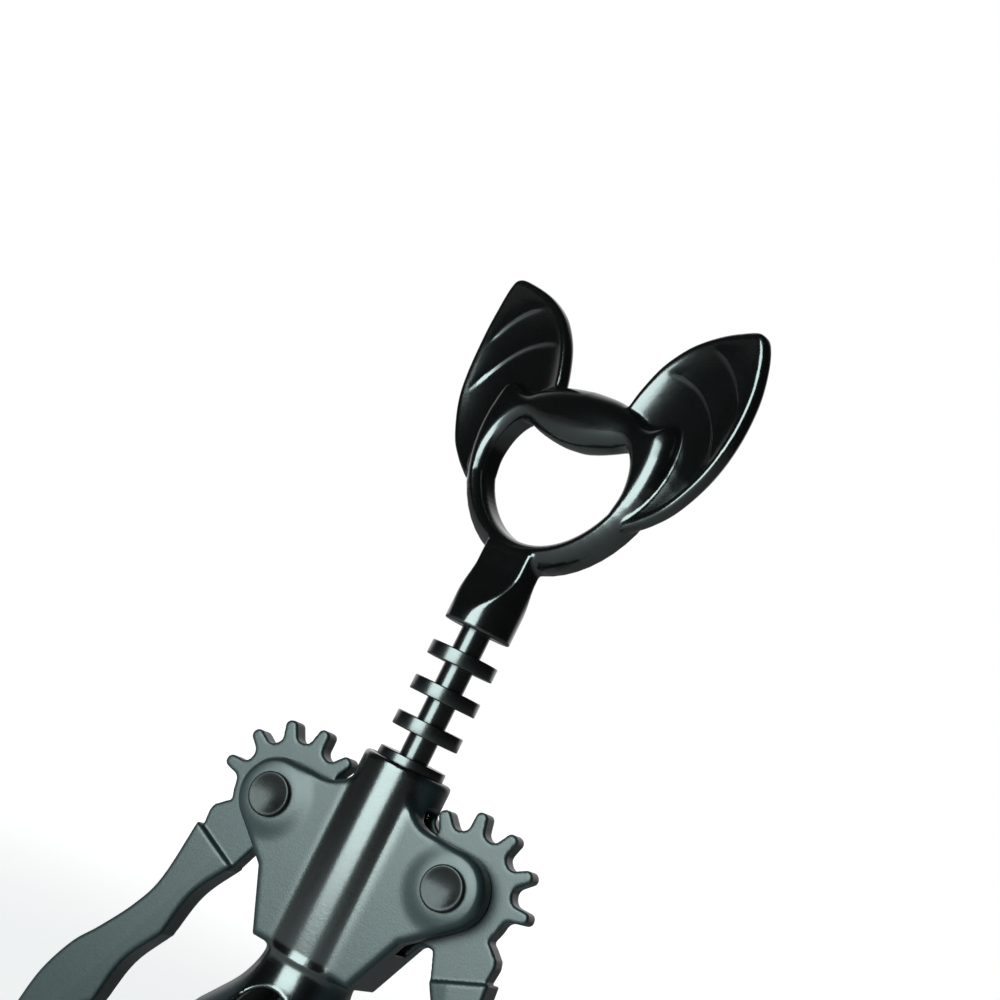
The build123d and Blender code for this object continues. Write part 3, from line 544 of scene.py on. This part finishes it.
def polished_middle(material, outer_sheen_shade, start, end, duller, clear_gloss, clear_index):
    """Makes a finish duller away from the worm's axis and paints a bluer sheen there, with a clear gloss on
    the barrel between.
    """
    tree = material.node_tree
    shader = tree.nodes["Principled BSDF"]
    gloss = shader.inputs["Roughness"].links[0].from_socket
    colour_in = gloss.node.inputs["Colour"]
    place = new_node(tree, "ShaderNodeSeparateXYZ", Vector=place_node(tree))
    share = range_node(tree, math_node(tree, "ABSOLUTE", place.outputs["X"]), start, end)
    # Away from the axis the colour turns to the painted blue-grey sheen.
    shade = new_node(tree, "ShaderNodeMix", {"data_type": "RGBA"}, Factor=share)
    inner, outer = [socket for socket in shade.inputs if socket.type == "RGBA"]
    inner.default_value, outer.default_value = colour_in.default_value, outer_sheen_shade
    tree.links.new(next(socket for socket in shade.outputs if socket.type == "RGBA"), colour_in)
    extra = math_node(tree, "MULTIPLY", share, duller)
    wired(tree, shader, Roughness=math_node(tree, "ADD", gloss, extra), Coat_Roughness=clear_gloss,
          Coat_Weight=math_node(tree, "SUBTRACT", 1.0, share), Coat_IOR=clear_index)


# Pieces


class CORKSCREW_OT_head(bpy.types.Operator):
    """Cast the opener head: ring, brow and lip, ears and neck in one"""

    bl_idname = "corkscrew.head"
    bl_label = "Opener head"

    def execute(self, context):
        sizes = context.scene.corkscrew_head
        step = context.scene.corkscrew_stage.detail
        ring_bottom = arc((0, 0), sizes.ring_radius / MM, *RING_ARC)
        hole_bottom = arc((0, 0), sizes.hole_radius / MM, *HOLE_ARC)
        ring_edge = mirrored(np.vstack([ring_bottom, curve_through(BROW)])) * MM
        hole_edge = mirrored(np.vstack([hole_bottom, curve_through(LIP)])) * MM
        ear_edge = np.vstack([curve_through(EAR_INNER_EDGE + EAR_OUTER_EDGE, steps=12), EAR_SEAT]) * MM
        foot = -sizes.ring_rise
        neck_top = -sizes.ring_radius + NECK_OVERLAP * MM

        def ear(x, y, z):
            from_x, from_z = np.abs(x) - EAR_MIDDLE[0] * MM, z - EAR_MIDDLE[1] * MM
            lean_cos, lean_sin = cos(sizes.ear_lean), sin(sizes.ear_lean)
            across = from_x * lean_cos - from_z * lean_sin
            along = from_x * lean_sin + from_z * lean_cos
            edge = np.minimum(np.abs(across) / sizes.ear_half_width, EAR_LAST)
            rise = sizes.ear_hollow * edge**EAR_POWER
            slope = EAR_POWER * sizes.ear_hollow / sizes.ear_half_width * edge ** (EAR_POWER - 1)
            bend = np.where(along > 0, sizes.ear_long, sizes.ear_curl)
            hollow = rise + along**2 / (2 * bend)
            bowed = along + FOLD_BOW * (across - FOLD_CREST * MM) ** 2
            rim = outline_field(ear_edge, np.abs(x), z)
            strength = sizes.fold_height * eased(-rim, FOLD_FADE[0] * MM, FOLD_FADE[1] * MM)
            fold = 0
            for place in FOLDS:
                past = bowed / MM - place
                steep, gentle = np.exp(-((past / FOLD_STEEP) ** 2)), np.exp(-past / FOLD_GENTLE)
                fold = fold + strength * np.where(past < 0, steep, gentle)
            through = (y - sizes.ear_depth + hollow) / np.sqrt(1 + slope**2 + (along / bend) ** 2)
            shell = np.maximum(-through - fold, through - sizes.ear_thickness)
            return overlap(rim, shell, sizes.ear_round)

        def neck(x, y, z):
            swell = eased(foot - z, -sizes.scoop_top, -sizes.scoop_foot)
            half = sizes.neck_flat + (sizes.neck_radius - sizes.neck_flat) * swell
            bar = overlap(np.hypot(x, y) - sizes.neck_radius, np.abs(y) - half, sizes.neck_round)
            middle = (foot + neck_top) / 2
            return overlap(bar, np.abs(z - middle) - (middle - foot), FOOT_ROUND * MM)

        def field(x, y, z):
            behind = y - sizes.set_back
            rim, hole = outline_field(ring_edge, x, z), -outline_field(hole_edge, x, z)
            front, back = -behind - sizes.ring_thickness / 2, behind - sizes.ring_thickness / 2
            outside, inside = [
                np.maximum(overlap(edge, front, soft), overlap(edge, back, sizes.ring_back_round))
                for edge, soft in ((rim, sizes.ring_shoulder), (hole, sizes.ring_round))]
            ring = np.maximum(outside, inside)
            brow = ellipsoid_field(x, behind, z - BROW_RISE * MM, [radius * MM for radius in BROW_RADII])
            head = joined(ring, brow, BROW_JOIN * MM)
            head = joined(head, ear(x, y, z), EAR_JOIN * MM)
            head = joined(head, neck(x, y, z), NECK_JOIN * MM)
            socket = np.maximum(np.hypot(x, y) - sizes.socket_radius, z - foot - sizes.socket_depth)
            return np.maximum(head, -socket)

        low = (HEAD_LOW[0] * MM, HEAD_LOW[1] * MM, foot - 1.5 * step)
        points, faces = field_surface(field, low, [end * MM for end in HEAD_HIGH], step)
        turn = Matrix.Rotation(sizes.spin, 3, "Z")
        points = points @ np.array(turn).T + (0, 0, NECK_FOOT + sizes.ring_rise)
        coat = finish("Head coat", context.scene.corkscrew_finish.coat, gloss=0.19)
        piece = casting("opener_head_casting", points, faces, coat)
        seated(piece, "spindle", "black_coat", "opener_head")
        return {"FINISHED"}


class CORKSCREW_OT_frame(bpy.types.Operator):
    """Cast the frame: barrel, cheeks and bell in one"""

    bl_idname = "corkscrew.frame"
    bl_label = "Frame"

    def execute(self, context):
        sizes = context.scene.corkscrew_frame
        step = context.scene.corkscrew_stage.frame_detail
        pivot = np.array((PIVOT.x, PIVOT.z)) / MM
        lobe, web = sizes.lobe_radius / MM, sizes.web_round / MM
        web_foot = sqrt(sizes.barrel_radius**2 - sizes.cheek_outer**2) / MM
        web_top = pivot[1] + lobe + web
        foot = pivot[1] - sizes.foot_drop / MM
        bell_radius, bell_top = BELL_SIDE[0][0], BELL_SIDE[-1][1]
        waist = ((PAST_AXIS, bell_top), (sizes.waist_half_width / MM, bell_top))
        cheek_edge = np.vstack([
            waist, ((sizes.foot_half_width / MM, foot),), arc(pivot, lobe, *LOBE_ARC),
            arc((web_foot + web, web_top), web, *WEB_ARC, steps=8), ((PAST_AXIS, web_top),)]) * MM
        bell_edge = np.vstack([((PAST_AXIS, 0), (bell_radius, 0)), curve_through(BELL_SIDE, steps=3),
                               ((PAST_AXIS, bell_top),)]) * MM
        mouth, groove = sizes.mouth_radius / MM, sizes.groove_radius / MM
        seat, ledge = sizes.mouth_depth / MM, sizes.groove_top / MM
        bore, under, over = sizes.bore_radius / MM, -PAST_END, BARREL_TOP / MM + PAST_END
        hollow_edge = np.vstack([
            ((PAST_AXIS, under), (mouth, under), (mouth, seat), (groove, seat), (groove, ledge)),
            ((BELL_INSIDE[0][0], ledge),), curve_through(BELL_INSIDE, steps=3),
            ((bore, over), (PAST_AXIS, over))]) * MM
        half = sizes.window_half_width
        window_low, window_high = sizes.window_foot + half, sizes.window_top - half

        def field(x, y, z):
            out, depth = np.abs(x), np.abs(y)
            radius = np.hypot(x, y)
            to_pivot = np.hypot(out - PIVOT.x, z - PIVOT.z)
            boss = sizes.boss_height * eased(-to_pivot, -sizes.boss_radius, -sizes.boss_flat)
            face = depth - sizes.cheek_outer - boss
            cheeks = overlap(outline_field(cheek_edge, out, z), face, sizes.edge_round)
            rise = (BARREL_TOP - bell_top * MM) / 2
            ends = np.abs(z - BARREL_TOP + rise) - rise
            barrel = overlap(radius - sizes.barrel_radius, ends, BARREL_ROUND * MM)
            bell = outline_field(bell_edge, radius, z)
            body = joined(joined(cheeks, barrel, BARREL_JOIN * MM), bell, BELL_JOIN * MM)
            body = cut(body, outline_field(hollow_edge, radius, z), BORE_BREAK * MM)
            pocket = np.maximum(to_pivot - sizes.pocket_radius, depth - sizes.cheek_inner)
            body = cut(body, pocket, POCKET_BREAK * MM)
            window = np.hypot(x, z - np.clip(z, window_low, window_high)) - half
            return cut(body, window, WINDOW_BREAK * MM)

        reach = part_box("frame")[1]
        points, faces = field_surface(field, (-reach.x - step, -reach.y - step, -1.5 * step),
                                      (reach.x + 2 * step, reach.y + 2 * step, reach.z + 2 * step), step)
        shades = context.scene.corkscrew_finish
        # The cheeks take the painted blue-grey sheen of the cast faces.
        coat = finish("Frame coat and cheek sheen", shades.coat, gloss=0.19, mottle=0.3, bump=0.08, index=1.65)
        polished_middle(coat, shades.cast_coat_and_sheen, start=5 * MM, end=8 * MM, duller=0.19, clear_gloss=0.19,
                        clear_index=1.5)
        piece = casting("frame_casting", points, faces, coat)
        seated(piece, "frame", "black_coat", "frame")
        return {"FINISHED"}


class CORKSCREW_OT_levers(bpy.types.Operator):
    """Cast the two levers: pinion, hub and wing in one"""

    bl_idname = "corkscrew.levers"
    bl_label = "Levers"

    def execute(self, context):
        sizes = context.scene.corkscrew_lever
        step = context.scene.corkscrew_stage.detail
        arm_edge = np.array(LEVER_ARM) * MM
        inner = np.vstack([curve_through(run, steps=6)[:-1] for run in WING_INNER_EDGES])
        wing_edge = np.vstack([inner, curve_through(WING_OUTER_EDGE, steps=6)]) * MM
        tilt_cos, tilt_sin = cos(sizes.splay), sin(sizes.splay)

        def pinion(x, z):
            from_x, from_z = PIVOT.x - x, z - PIVOT.z
            disc = np.hypot(from_x, from_z) - sizes.root_radius
            for count in range(sizes.tooth_count):
                turn = sizes.first_tooth + count * sizes.tooth_step
                out = from_x * cos(turn) + from_z * sin(turn)
                aside = np.abs(from_z * cos(turn) - from_x * sin(turn))
                half = sizes.tooth_thickness / 2 + (sizes.pitch_radius - out) * tan(sizes.tooth_flank)
                flank = (aside - half) * cos(sizes.tooth_flank)
                ends = np.maximum(out - sizes.tip_radius, TOOTH_FOOT * MM - out)
                disc = joined(disc, overlap(flank, ends, TOOTH_CROWN * MM), TOOTH_JOIN * MM)
            return disc

        def field(x, y, z):
            from_x, from_z = x - PIVOT.x, z - PIVOT.z
            along, out = from_x * tilt_sin - from_z * tilt_cos, from_x * tilt_cos + from_z * tilt_sin
            hub_edge = joined(pinion(x, z), outline_field(arm_edge, along, out), ARM_JOIN * MM)
            hub = overlap(hub_edge, np.abs(y) - sizes.hub_thickness / 2, HUB_ROUND * MM)
            fall = sizes.crease_fall * np.clip((sizes.crease - out) / (CREASE_WIDTH * MM), 0, CREASE_LAST)
            face = np.abs(y) - sizes.wing_thickness / 2 + fall
            wing = overlap(outline_field(wing_edge, along, out), face, WING_ROUND * MM)
            body = joined(hub, wing, WING_JOIN * MM)
            return cut(body, np.hypot(from_x, from_z) - sizes.hole_radius, HOLE_BREAK * MM)

        low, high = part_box("right_lever")
        points, faces = field_surface(field, np.array(low) - 2.5 * step, np.array(high) + 3 * step, step)
        # The levers' colour is the black coat with a painted blue-grey sheen.
        shade = context.scene.corkscrew_finish.cast_coat_and_sheen
        coat = finish("Lever coat and painted sheen", shade, gloss=0.39, mottle=0.3, bump=0.08, index=1.65)
        for body, side in (("right_lever", 1), ("left_lever", -1)):
            piece = casting(f"{body}_casting", points * (side, 1, 1), faces[:, ::side], coat)
            seated(piece, body, "black_coat", body)
        return {"FINISHED"}


def tree_with(name, *sizes, count=()):
    """A Geometry Nodes tree with named inputs, and its two ends."""
    tree = bpy.data.node_groups.new(name, "GeometryNodeTree")
    kinds = {"Geometry": "NodeSocketGeometry", **dict.fromkeys(sizes, "NodeSocketFloat"),
             **dict.fromkeys(count, "NodeSocketInt"), "Material": "NodeSocketMaterial"}
    for label, kind in kinds.items():
        tree.interface.new_socket(label, in_out="INPUT", socket_type=kind)
    tree.interface.new_socket("Geometry", in_out="OUTPUT", socket_type="NodeSocketGeometry")
    return tree, tree.nodes.new("NodeGroupInput"), tree.nodes.new("NodeGroupOutput")


def coated_end(tree, start, end, geometry):
    """Ends a tree with real geometry that has its material."""
    real = new_node(tree, "GeometryNodeRealizeInstances", Geometry=geometry)
    coated = new_node(tree, "GeometryNodeSetMaterial", Geometry=real.outputs[0],
                      Material=start.outputs["Material"])
    tree.links.new(coated.outputs[0], end.inputs[0])
    return tree


def grown(name, base, tree, values, material, crease):
    """The plain mesh that a Geometry Nodes tree makes of a base, as one piece with its sharp edges marked."""
    carrier = bpy.data.objects.new(f"{name}_base", base)
    bpy.context.scene.collection.objects.link(carrier)
    modifier = carrier.modifiers.new("Nodes", "NODES")
    modifier.node_group = tree
    values = {**values, "Material": material}
    for item in tree.interface.items_tree:
        if item.item_type == "SOCKET" and item.in_out == "INPUT" and item.name in values:
            modifier[item.identifier] = values[item.name]
    depsgraph = bpy.context.evaluated_depsgraph_get()
    mesh = bpy.data.meshes.new_from_object(carrier.evaluated_get(depsgraph), depsgraph=depsgraph)
    mesh.name = name
    bpy.data.objects.remove(carrier)
    mesh.shade_smooth()
    mesh.set_sharp_from_angle(angle=radians(crease))
    return placed(name, mesh, material)


def rack_tree():
    """Rings at a steady pitch on a sleeve, each turned from its own section."""
    tree, start, end = tree_with("Rack rings", "Ring radius", "Root radius", "Bore radius", "Rim", "Root",
                                 "Pitch", "Top ring", "Foot", "Top", "Round", count=["Count"])
    given = start.outputs

    def number(operation, *values):
        return math_node(tree, operation, *values)

    def halfway(one, other):
        return number("MULTIPLY", number("ADD", one, other), 0.5)

    def upwards(value):
        return new_node(tree, "ShaderNodeCombineXYZ", Z=value).outputs[0]

    def turned(section, radius):
        upright = new_node(tree, "GeometryNodeTransform", Geometry=section.outputs["Curve"],
                           Rotation=QUARTER_TURN)
        path = new_node(tree, "GeometryNodeCurvePrimitiveCircle", Resolution=RING_STEPS, Radius=radius)
        return new_node(tree, "GeometryNodeCurveToMesh", Curve=path.outputs["Curve"],
                        Profile_Curve=upright.outputs["Geometry"]).outputs["Mesh"]

    depth = number("SUBTRACT", given["Ring radius"], given["Bore radius"])
    slanted = new_node(tree, "GeometryNodeCurvePrimitiveQuadrilateral", {"mode": "TRAPEZOID"},
                       Bottom_Width=given["Root"], Top_Width=given["Rim"], Height=depth, Offset=0.0)
    soft = new_node(tree, "GeometryNodeFilletCurve", {"mode": "POLY"}, Curve=slanted.outputs["Curve"],
                    Radius=given["Round"], Count=FILLET_STEPS)
    ring = turned(soft, halfway(given["Ring radius"], given["Bore radius"]))
    line = new_node(tree, "GeometryNodeMeshLine", Count=given["Count"],
                    Start_Location=upwards(given["Top ring"]),
                    Offset=upwards(number("MULTIPLY", given["Pitch"], -1.0)))
    rings = new_node(tree, "GeometryNodeInstanceOnPoints", Points=line.outputs["Mesh"], Instance=ring)
    wall = number("SUBTRACT", given["Root radius"], given["Bore radius"])
    tall = number("SUBTRACT", given["Top"], given["Foot"])
    plain = new_node(tree, "GeometryNodeCurvePrimitiveQuadrilateral", Width=tall, Height=wall)
    sleeve = turned(plain, halfway(given["Root radius"], given["Bore radius"]))
    lifted = new_node(tree, "GeometryNodeTransform", Geometry=sleeve,
                      Translation=upwards(halfway(given["Foot"], given["Top"])))
    both = new_node(tree, "GeometryNodeJoinGeometry")
    tree.links.new(rings.outputs["Instances"], both.inputs[0])
    tree.links.new(lifted.outputs["Geometry"], both.inputs[0])
    return coated_end(tree, start, end, both.outputs[0])


class CORKSCREW_OT_rack(bpy.types.Operator):
    """Turn the rack: a sleeve with round teeth"""

    bl_idname = "corkscrew.rack"
    bl_label = "Rack"

    def execute(self, context):
        sizes = context.scene.corkscrew_rack
        low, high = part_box("rack_sleeve")
        top_ring = NECK_FOOT - sizes.neck_gap - sizes.rim_thickness / 2
        values = {"Ring radius": sizes.ring_radius, "Root radius": sizes.root_radius,
                  "Bore radius": sizes.bore_radius, "Rim": sizes.rim_thickness, "Root": sizes.root_thickness,
                  "Pitch": sizes.pitch, "Top ring": top_ring, "Foot": low.z, "Top": high.z,
                  "Round": sizes.edge_round, "Count": sizes.ring_count}
        base = bpy.data.meshes.new("rack_sleeve_base")
        coat = finish("Rack coat", context.scene.corkscrew_finish.rack_coat, gloss=0.23)
        piece = grown("rack_sleeve_turned", base, rack_tree(), values, coat, CREASE)
        seated(piece, "rack", "black_coat", "rack_sleeve")
        return {"FINISHED"}


def worm_tree():
    """A round wire along a path, drawn out to a point at its end."""
    tree, start, end = tree_with("Worm wire", "Wire", "Point")
    given = start.outputs
    share = new_node(tree, "GeometryNodeSplineParameter").outputs["Factor"]
    left = math_node(tree, "DIVIDE", math_node(tree, "SUBTRACT", 1.0, share), given["Point"])
    drawn = math_node(tree, "POWER", math_node(tree, "MINIMUM", left, 1.0), POINT_POWER)
    thick = math_node(tree, "MAXIMUM", drawn, POINT_LEAST)
    sized = new_node(tree, "GeometryNodeSetCurveRadius", Curve=given["Geometry"], Radius=thick)
    section = new_node(tree, "GeometryNodeCurvePrimitiveCircle", Resolution=WIRE_STEPS,
                       Radius=given["Wire"])
    wire = new_node(tree, "GeometryNodeCurveToMesh", Curve=sized.outputs["Curve"],
                    Profile_Curve=section.outputs["Curve"], Fill_Caps=True)
    return coated_end(tree, start, end, wire.outputs["Mesh"])


class CORKSCREW_OT_worm(bpy.types.Operator):
    """Wind the worm: one wire, straight in the sleeve and then an open right-hand helix"""

    bl_idname = "corkscrew.worm"
    bl_label = "Worm"

    def execute(self, context):
        sizes = context.scene.corkscrew_worm
        bend_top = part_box("worm_collar")[0].z - COLLAR_GAP * MM
        helix_top = bend_top - sizes.lead_in
        path = [(0, 0, NECK_FOOT + sizes.shank_socket), (0, 0, bend_top)]
        for count in range(1, BEND_STEPS):
            share = count / BEND_STEPS
            swing = share * share * (3 - 2 * share)
            turn = -(1 - share) * LEAD_TURN
            path.append((sizes.helix_radius * swing * cos(turn), -sizes.helix_radius * swing * sin(turn),
                         bend_top - share * sizes.lead_in))
        for count in range(TURN_STEPS * sizes.turns + 1):
            turn = 2 * pi * count / TURN_STEPS
            path.append((sizes.helix_radius * cos(turn), -sizes.helix_radius * sin(turn),
                         helix_top - sizes.pitch * count / TURN_STEPS))
        base = bpy.data.curves.new("worm_path", "CURVE")
        base.dimensions = "3D"
        spline = base.splines.new("POLY")
        spline.points.add(len(path) - 1)
        for point, place in zip(spline.points, path):
            point.co = (*place, 1.0)
        coat = finish("Worm coat", context.scene.corkscrew_finish.worm, gloss=0.24)
        values = {"Wire": sizes.wire_radius, "Point": sizes.point_share}
        piece = grown("worm_wire", base, worm_tree(), values, coat, WIRE_CREASE)
        seated(piece, "spindle", "worm_coat", "worm")
        return {"FINISHED"}


def turned_mesh(name, section, steps):
    """A closed mesh turned about the Y axis from a section, radius and depth, that starts and ends on it."""
    turns = np.linspace(0, 2 * pi, steps, endpoint=False)
    radius, depth = section[1:-1, :1], section[1:-1, 1:]
    rings = np.stack([radius * np.cos(turns), depth + 0 * turns, radius * np.sin(turns)], 2).reshape(-1, 3)
    points = np.vstack([rings, (0, section[0, 1], 0), (0, section[-1, 1], 0)])
    sides = list(zip(range(steps), [*range(1, steps), 0]))
    last = len(rings) - steps
    faces = [(len(rings), one, two) for one, two in sides]
    for start in range(0, last, steps):
        faces += [(start + one, start + one + steps, start + two + steps, start + two) for one, two in sides]
    faces += [(len(rings) + 1, last + two, last + one) for one, two in sides]
    mesh = bpy.data.meshes.new(name)
    mesh.from_pydata(points.tolist(), [], faces)
    mesh.validate()
    return mesh


def pair_tree():
    """The same piece at both pivots."""
    tree, start, end = tree_with("Pivot pair", "Offset", "Height")
    given = start.outputs
    left = new_node(tree, "ShaderNodeCombineXYZ", X=math_node(tree, "MULTIPLY", given["Offset"], -1.0),
                    Z=given["Height"])
    across = new_node(tree, "ShaderNodeCombineXYZ", X=math_node(tree, "MULTIPLY", given["Offset"], 2.0))
    pivots = new_node(tree, "GeometryNodeMeshLine", Count=2, Start_Location=left.outputs[0],
                      Offset=across.outputs[0])
    both = new_node(tree, "GeometryNodeInstanceOnPoints", Points=pivots.outputs["Mesh"],
                    Instance=given["Geometry"])
    return coated_end(tree, start, end, both.outputs["Instances"])


class CORKSCREW_OT_rivets(bpy.types.Operator):
    """Turn the two pivot rivets, whose broad heads are a little dished"""

    bl_idname = "corkscrew.rivets"
    bl_label = "Rivets"

    def execute(self, context):
        sizes = context.scene.corkscrew_rivet
        low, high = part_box("right_pivot_rivet")
        head, shank, tail, edge = sizes.head_radius, sizes.shank_radius, sizes.tail_radius, sizes.head_round
        out = np.linspace(0, head - DISH_EDGE * edge, DISH_STEPS)
        dish = np.stack([out, low.y + sizes.dish * (1 - (out / out[-1]) ** 2)], 1)
        seat, tail_foot = low.y + sizes.head_thickness, high.y - sizes.tail_height
        tail_round = sizes.tail_height / 2
        section = np.vstack([
            dish, arc((head - edge, low.y + edge), edge, -90, 0, ROUND_STEPS),
            ((head, seat), (shank, seat), (shank, tail_foot), (tail, tail_foot)),
            arc((tail - tail_round, high.y - tail_round), tail_round, 0, 90, ROUND_STEPS), ((0, high.y),)])
        base = turned_mesh("pivot_rivet", section, RIVET_STEPS)
        shade = context.scene.corkscrew_finish.rivet
        coat = finish("Blackened rivet", shade, gloss=0.24, mottle=0.8, clouds=0.2, index=1.36)
        values = {"Offset": PIVOT.x, "Height": PIVOT.z}
        piece = grown("pivot_rivets_turned", base, pair_tree(), values, coat, CREASE)
        seated(piece, "frame", "rivet", "left_pivot_rivet", "right_pivot_rivet")
        return {"FINISHED"}


class CORKSCREW_OT_fittings(bpy.types.Operator):
    """Finish the burrs, washers, collar, pin and liner, which keep their own shapes"""

    bl_idname = "corkscrew.fittings"
    bl_label = "Fittings"

    def execute(self, context):
        shades = context.scene.corkscrew_finish
        finishes = {
            "rivet_burr": finish("Blackened burr", shades.rivet, gloss=0.5, mottle=0.5, index=1.5),
            "lever_washers": finish("Washer plastic", shades.washer, gloss=0.5, bump=0.1),
            "bell_liner": finish("Liner plastic", shades.liner, gloss=0.55, bump=0.15),
            "worm_collar": finish("Turned steel", shades.steel, gloss=0.3, mottle=0.1, clouds=0.2, metal=1.0),
        }
        finishes["thrust_washer"] = finishes["head_pin"] = finishes["worm_collar"]
        for name, node in NODES.items():
            for ending, material in finishes.items():
                if name.endswith(ending):
                    node.data.materials.clear()
                    node.data.materials.append(material)
        return {"FINISHED"}


# Stage


class CORKSCREW_OT_stage(bpy.types.Operator):
    """Set the floor, the room, the light and the camera"""

    bl_idname = "corkscrew.stage"
    bl_label = "Stage"

    def execute(self, context):
        settings = context.scene.corkscrew_stage
        self.camera(context, settings)
        self.floor(settings)
        self.room(context, settings)
        self.light(context, settings)
        context.scene.view_settings.view_transform = "Standard"
        return {"FINISHED"}

    def camera(self, context, settings):
        """Stand the camera where the view of the head, rack and barrel was taken from."""
        place, aim = Vector(CAMERA_PLACE) * MM, Vector(CAMERA_AIM) * MM
        data = bpy.data.cameras.new("camera")
        data.lens = settings.lens
        data.clip_start = CLIP_START
        lens = bpy.data.objects.new("camera", data)
        turn = (aim - place).to_track_quat("-Z", "Y").to_matrix() @ Matrix.Rotation(settings.roll, 3, "Z")
        lens.matrix_world = Matrix.Translation(place) @ turn.to_4x4()
        context.scene.collection.objects.link(lens)
        context.scene.camera = lens

    def floor(self, settings):
        """A wide pale floor that reads as white and keeps the object's shadow."""
        mesh = bpy.data.meshes.new("floor")
        corners = [(x * FLOOR_REACH, y * FLOOR_REACH, 0) for x, y in ((-1, -1), (1, -1), (1, 1), (-1, 1))]
        mesh.from_pydata(corners, [], [(0, 1, 2, 3)])
        material = bpy.data.materials.new("Pale floor")
        material.use_nodes = True
        tree = material.node_tree
        seen = tree.nodes.new("ShaderNodeLightPath").outputs["Is Camera Ray"]
        away = math_node(tree, "LENGTH", place_node(tree), kind="ShaderNodeVectorMath")
        glow = range_node(tree, away, low=0.1, high=0.6, least=0.6)
        wired(tree, tree.nodes["Principled BSDF"], Base_Color=settings.floor, Roughness=FLOOR_GLOSS,
              Emission_Color=WHITE, Emission_Strength=math_node(tree, "MULTIPLY", seen, glow))
        placed("floor", mesh, material)

    def room(self, context, settings):
        """White behind the object, and a dim room where the camera and the light stand."""
        world = bpy.data.worlds.new("room")
        world.use_nodes = True
        tree = world.node_tree
        ray = tree.nodes.new("ShaderNodeLightPath").outputs
        way = place_node(tree, "Generated")
        behind = math_node(tree, "DOT_PRODUCT", way, BACKDROP_WAY, kind="ShaderNodeVectorMath")
        backdrop = range_node(tree, behind, low=0.5, high=0.9, least=settings.room)
        seen = math_node(tree, "MAXIMUM", ray["Is Camera Ray"], ray["Is Transmission Ray"])
        white = math_node(tree, "MAXIMUM", seen, backdrop)
        wired(tree, tree.nodes["Background"], Color=WHITE, Strength=white)
        context.scene.world = world

    def light(self, context, settings):
        """A wide soft light in front, a little to one side."""
        data = bpy.data.lights.new("front_softbox", "AREA")
        data.color = settings.light_tint[:3]
        data.shape = "RECTANGLE"
        data.size, data.size_y, data.energy = settings.light_width, settings.light_rise, settings.front_light
        turn, away, height = settings.light_turn, settings.light_distance, settings.light_height
        place, aim = Vector((away * sin(turn), -away * cos(turn), height)), Vector((0, 0, height))
        lamp = bpy.data.objects.new("front_softbox", data)
        lamp.location = place
        lamp.rotation_euler = (aim - place).to_track_quat("-Z", "Y").to_euler()
        context.scene.collection.objects.link(lamp)


class CORKSCREW_PT_panel(bpy.types.Panel):
    """Sizes, finishes and steps of the corkscrew"""

    bl_label = "Winged corkscrew"
    bl_idname = "CORKSCREW_PT_panel"
    bl_space_type = "VIEW_3D"
    bl_region_type = "UI"
    bl_category = "Corkscrew"

    def draw(self, context):
        for operator in OPERATORS:
            self.layout.operator(operator.bl_idname)
        for name, group in GROUPS.items():
            box = self.layout.box()
            box.label(text=group.__doc__)
            for prop in group.__annotations__:
                box.prop(getattr(context.scene, name), prop)


GROUPS = {
    "corkscrew_head": HeadSizes, "corkscrew_frame": FrameSizes, "corkscrew_lever": LeverSizes,
    "corkscrew_rack": RackSizes, "corkscrew_worm": WormSizes, "corkscrew_rivet": RivetSizes,
    "corkscrew_finish": Finishes, "corkscrew_stage": StageSettings,
}
OPERATORS = (CORKSCREW_OT_head, CORKSCREW_OT_frame, CORKSCREW_OT_levers, CORKSCREW_OT_rack, CORKSCREW_OT_worm,
             CORKSCREW_OT_rivets, CORKSCREW_OT_fittings, CORKSCREW_OT_stage)


def register():
    """Registers the classes and hangs their settings on the scene."""
    for group in (*GROUPS.values(), *OPERATORS, CORKSCREW_PT_panel):
        bpy.utils.register_class(group)
    for name, group in GROUPS.items():
        setattr(bpy.types.Scene, name, bpy.props.PointerProperty(type=group))


def unregister():
    """Takes the settings off the scene and unregisters the classes."""
    for name in GROUPS:
        delattr(bpy.types.Scene, name)
    for group in reversed((*GROUPS.values(), *OPERATORS, CORKSCREW_PT_panel)):
        bpy.utils.unregister_class(group)


def main():
    """Makes the whole corkscrew and its stage."""
    register()
    bpy.ops.corkscrew.head()
    bpy.ops.corkscrew.frame()
    bpy.ops.corkscrew.levers()
    bpy.ops.corkscrew.rack()
    bpy.ops.corkscrew.worm()
    bpy.ops.corkscrew.rivets()
    bpy.ops.corkscrew.fittings()
    bpy.ops.corkscrew.stage()


if __name__ == "__main__":
    main()
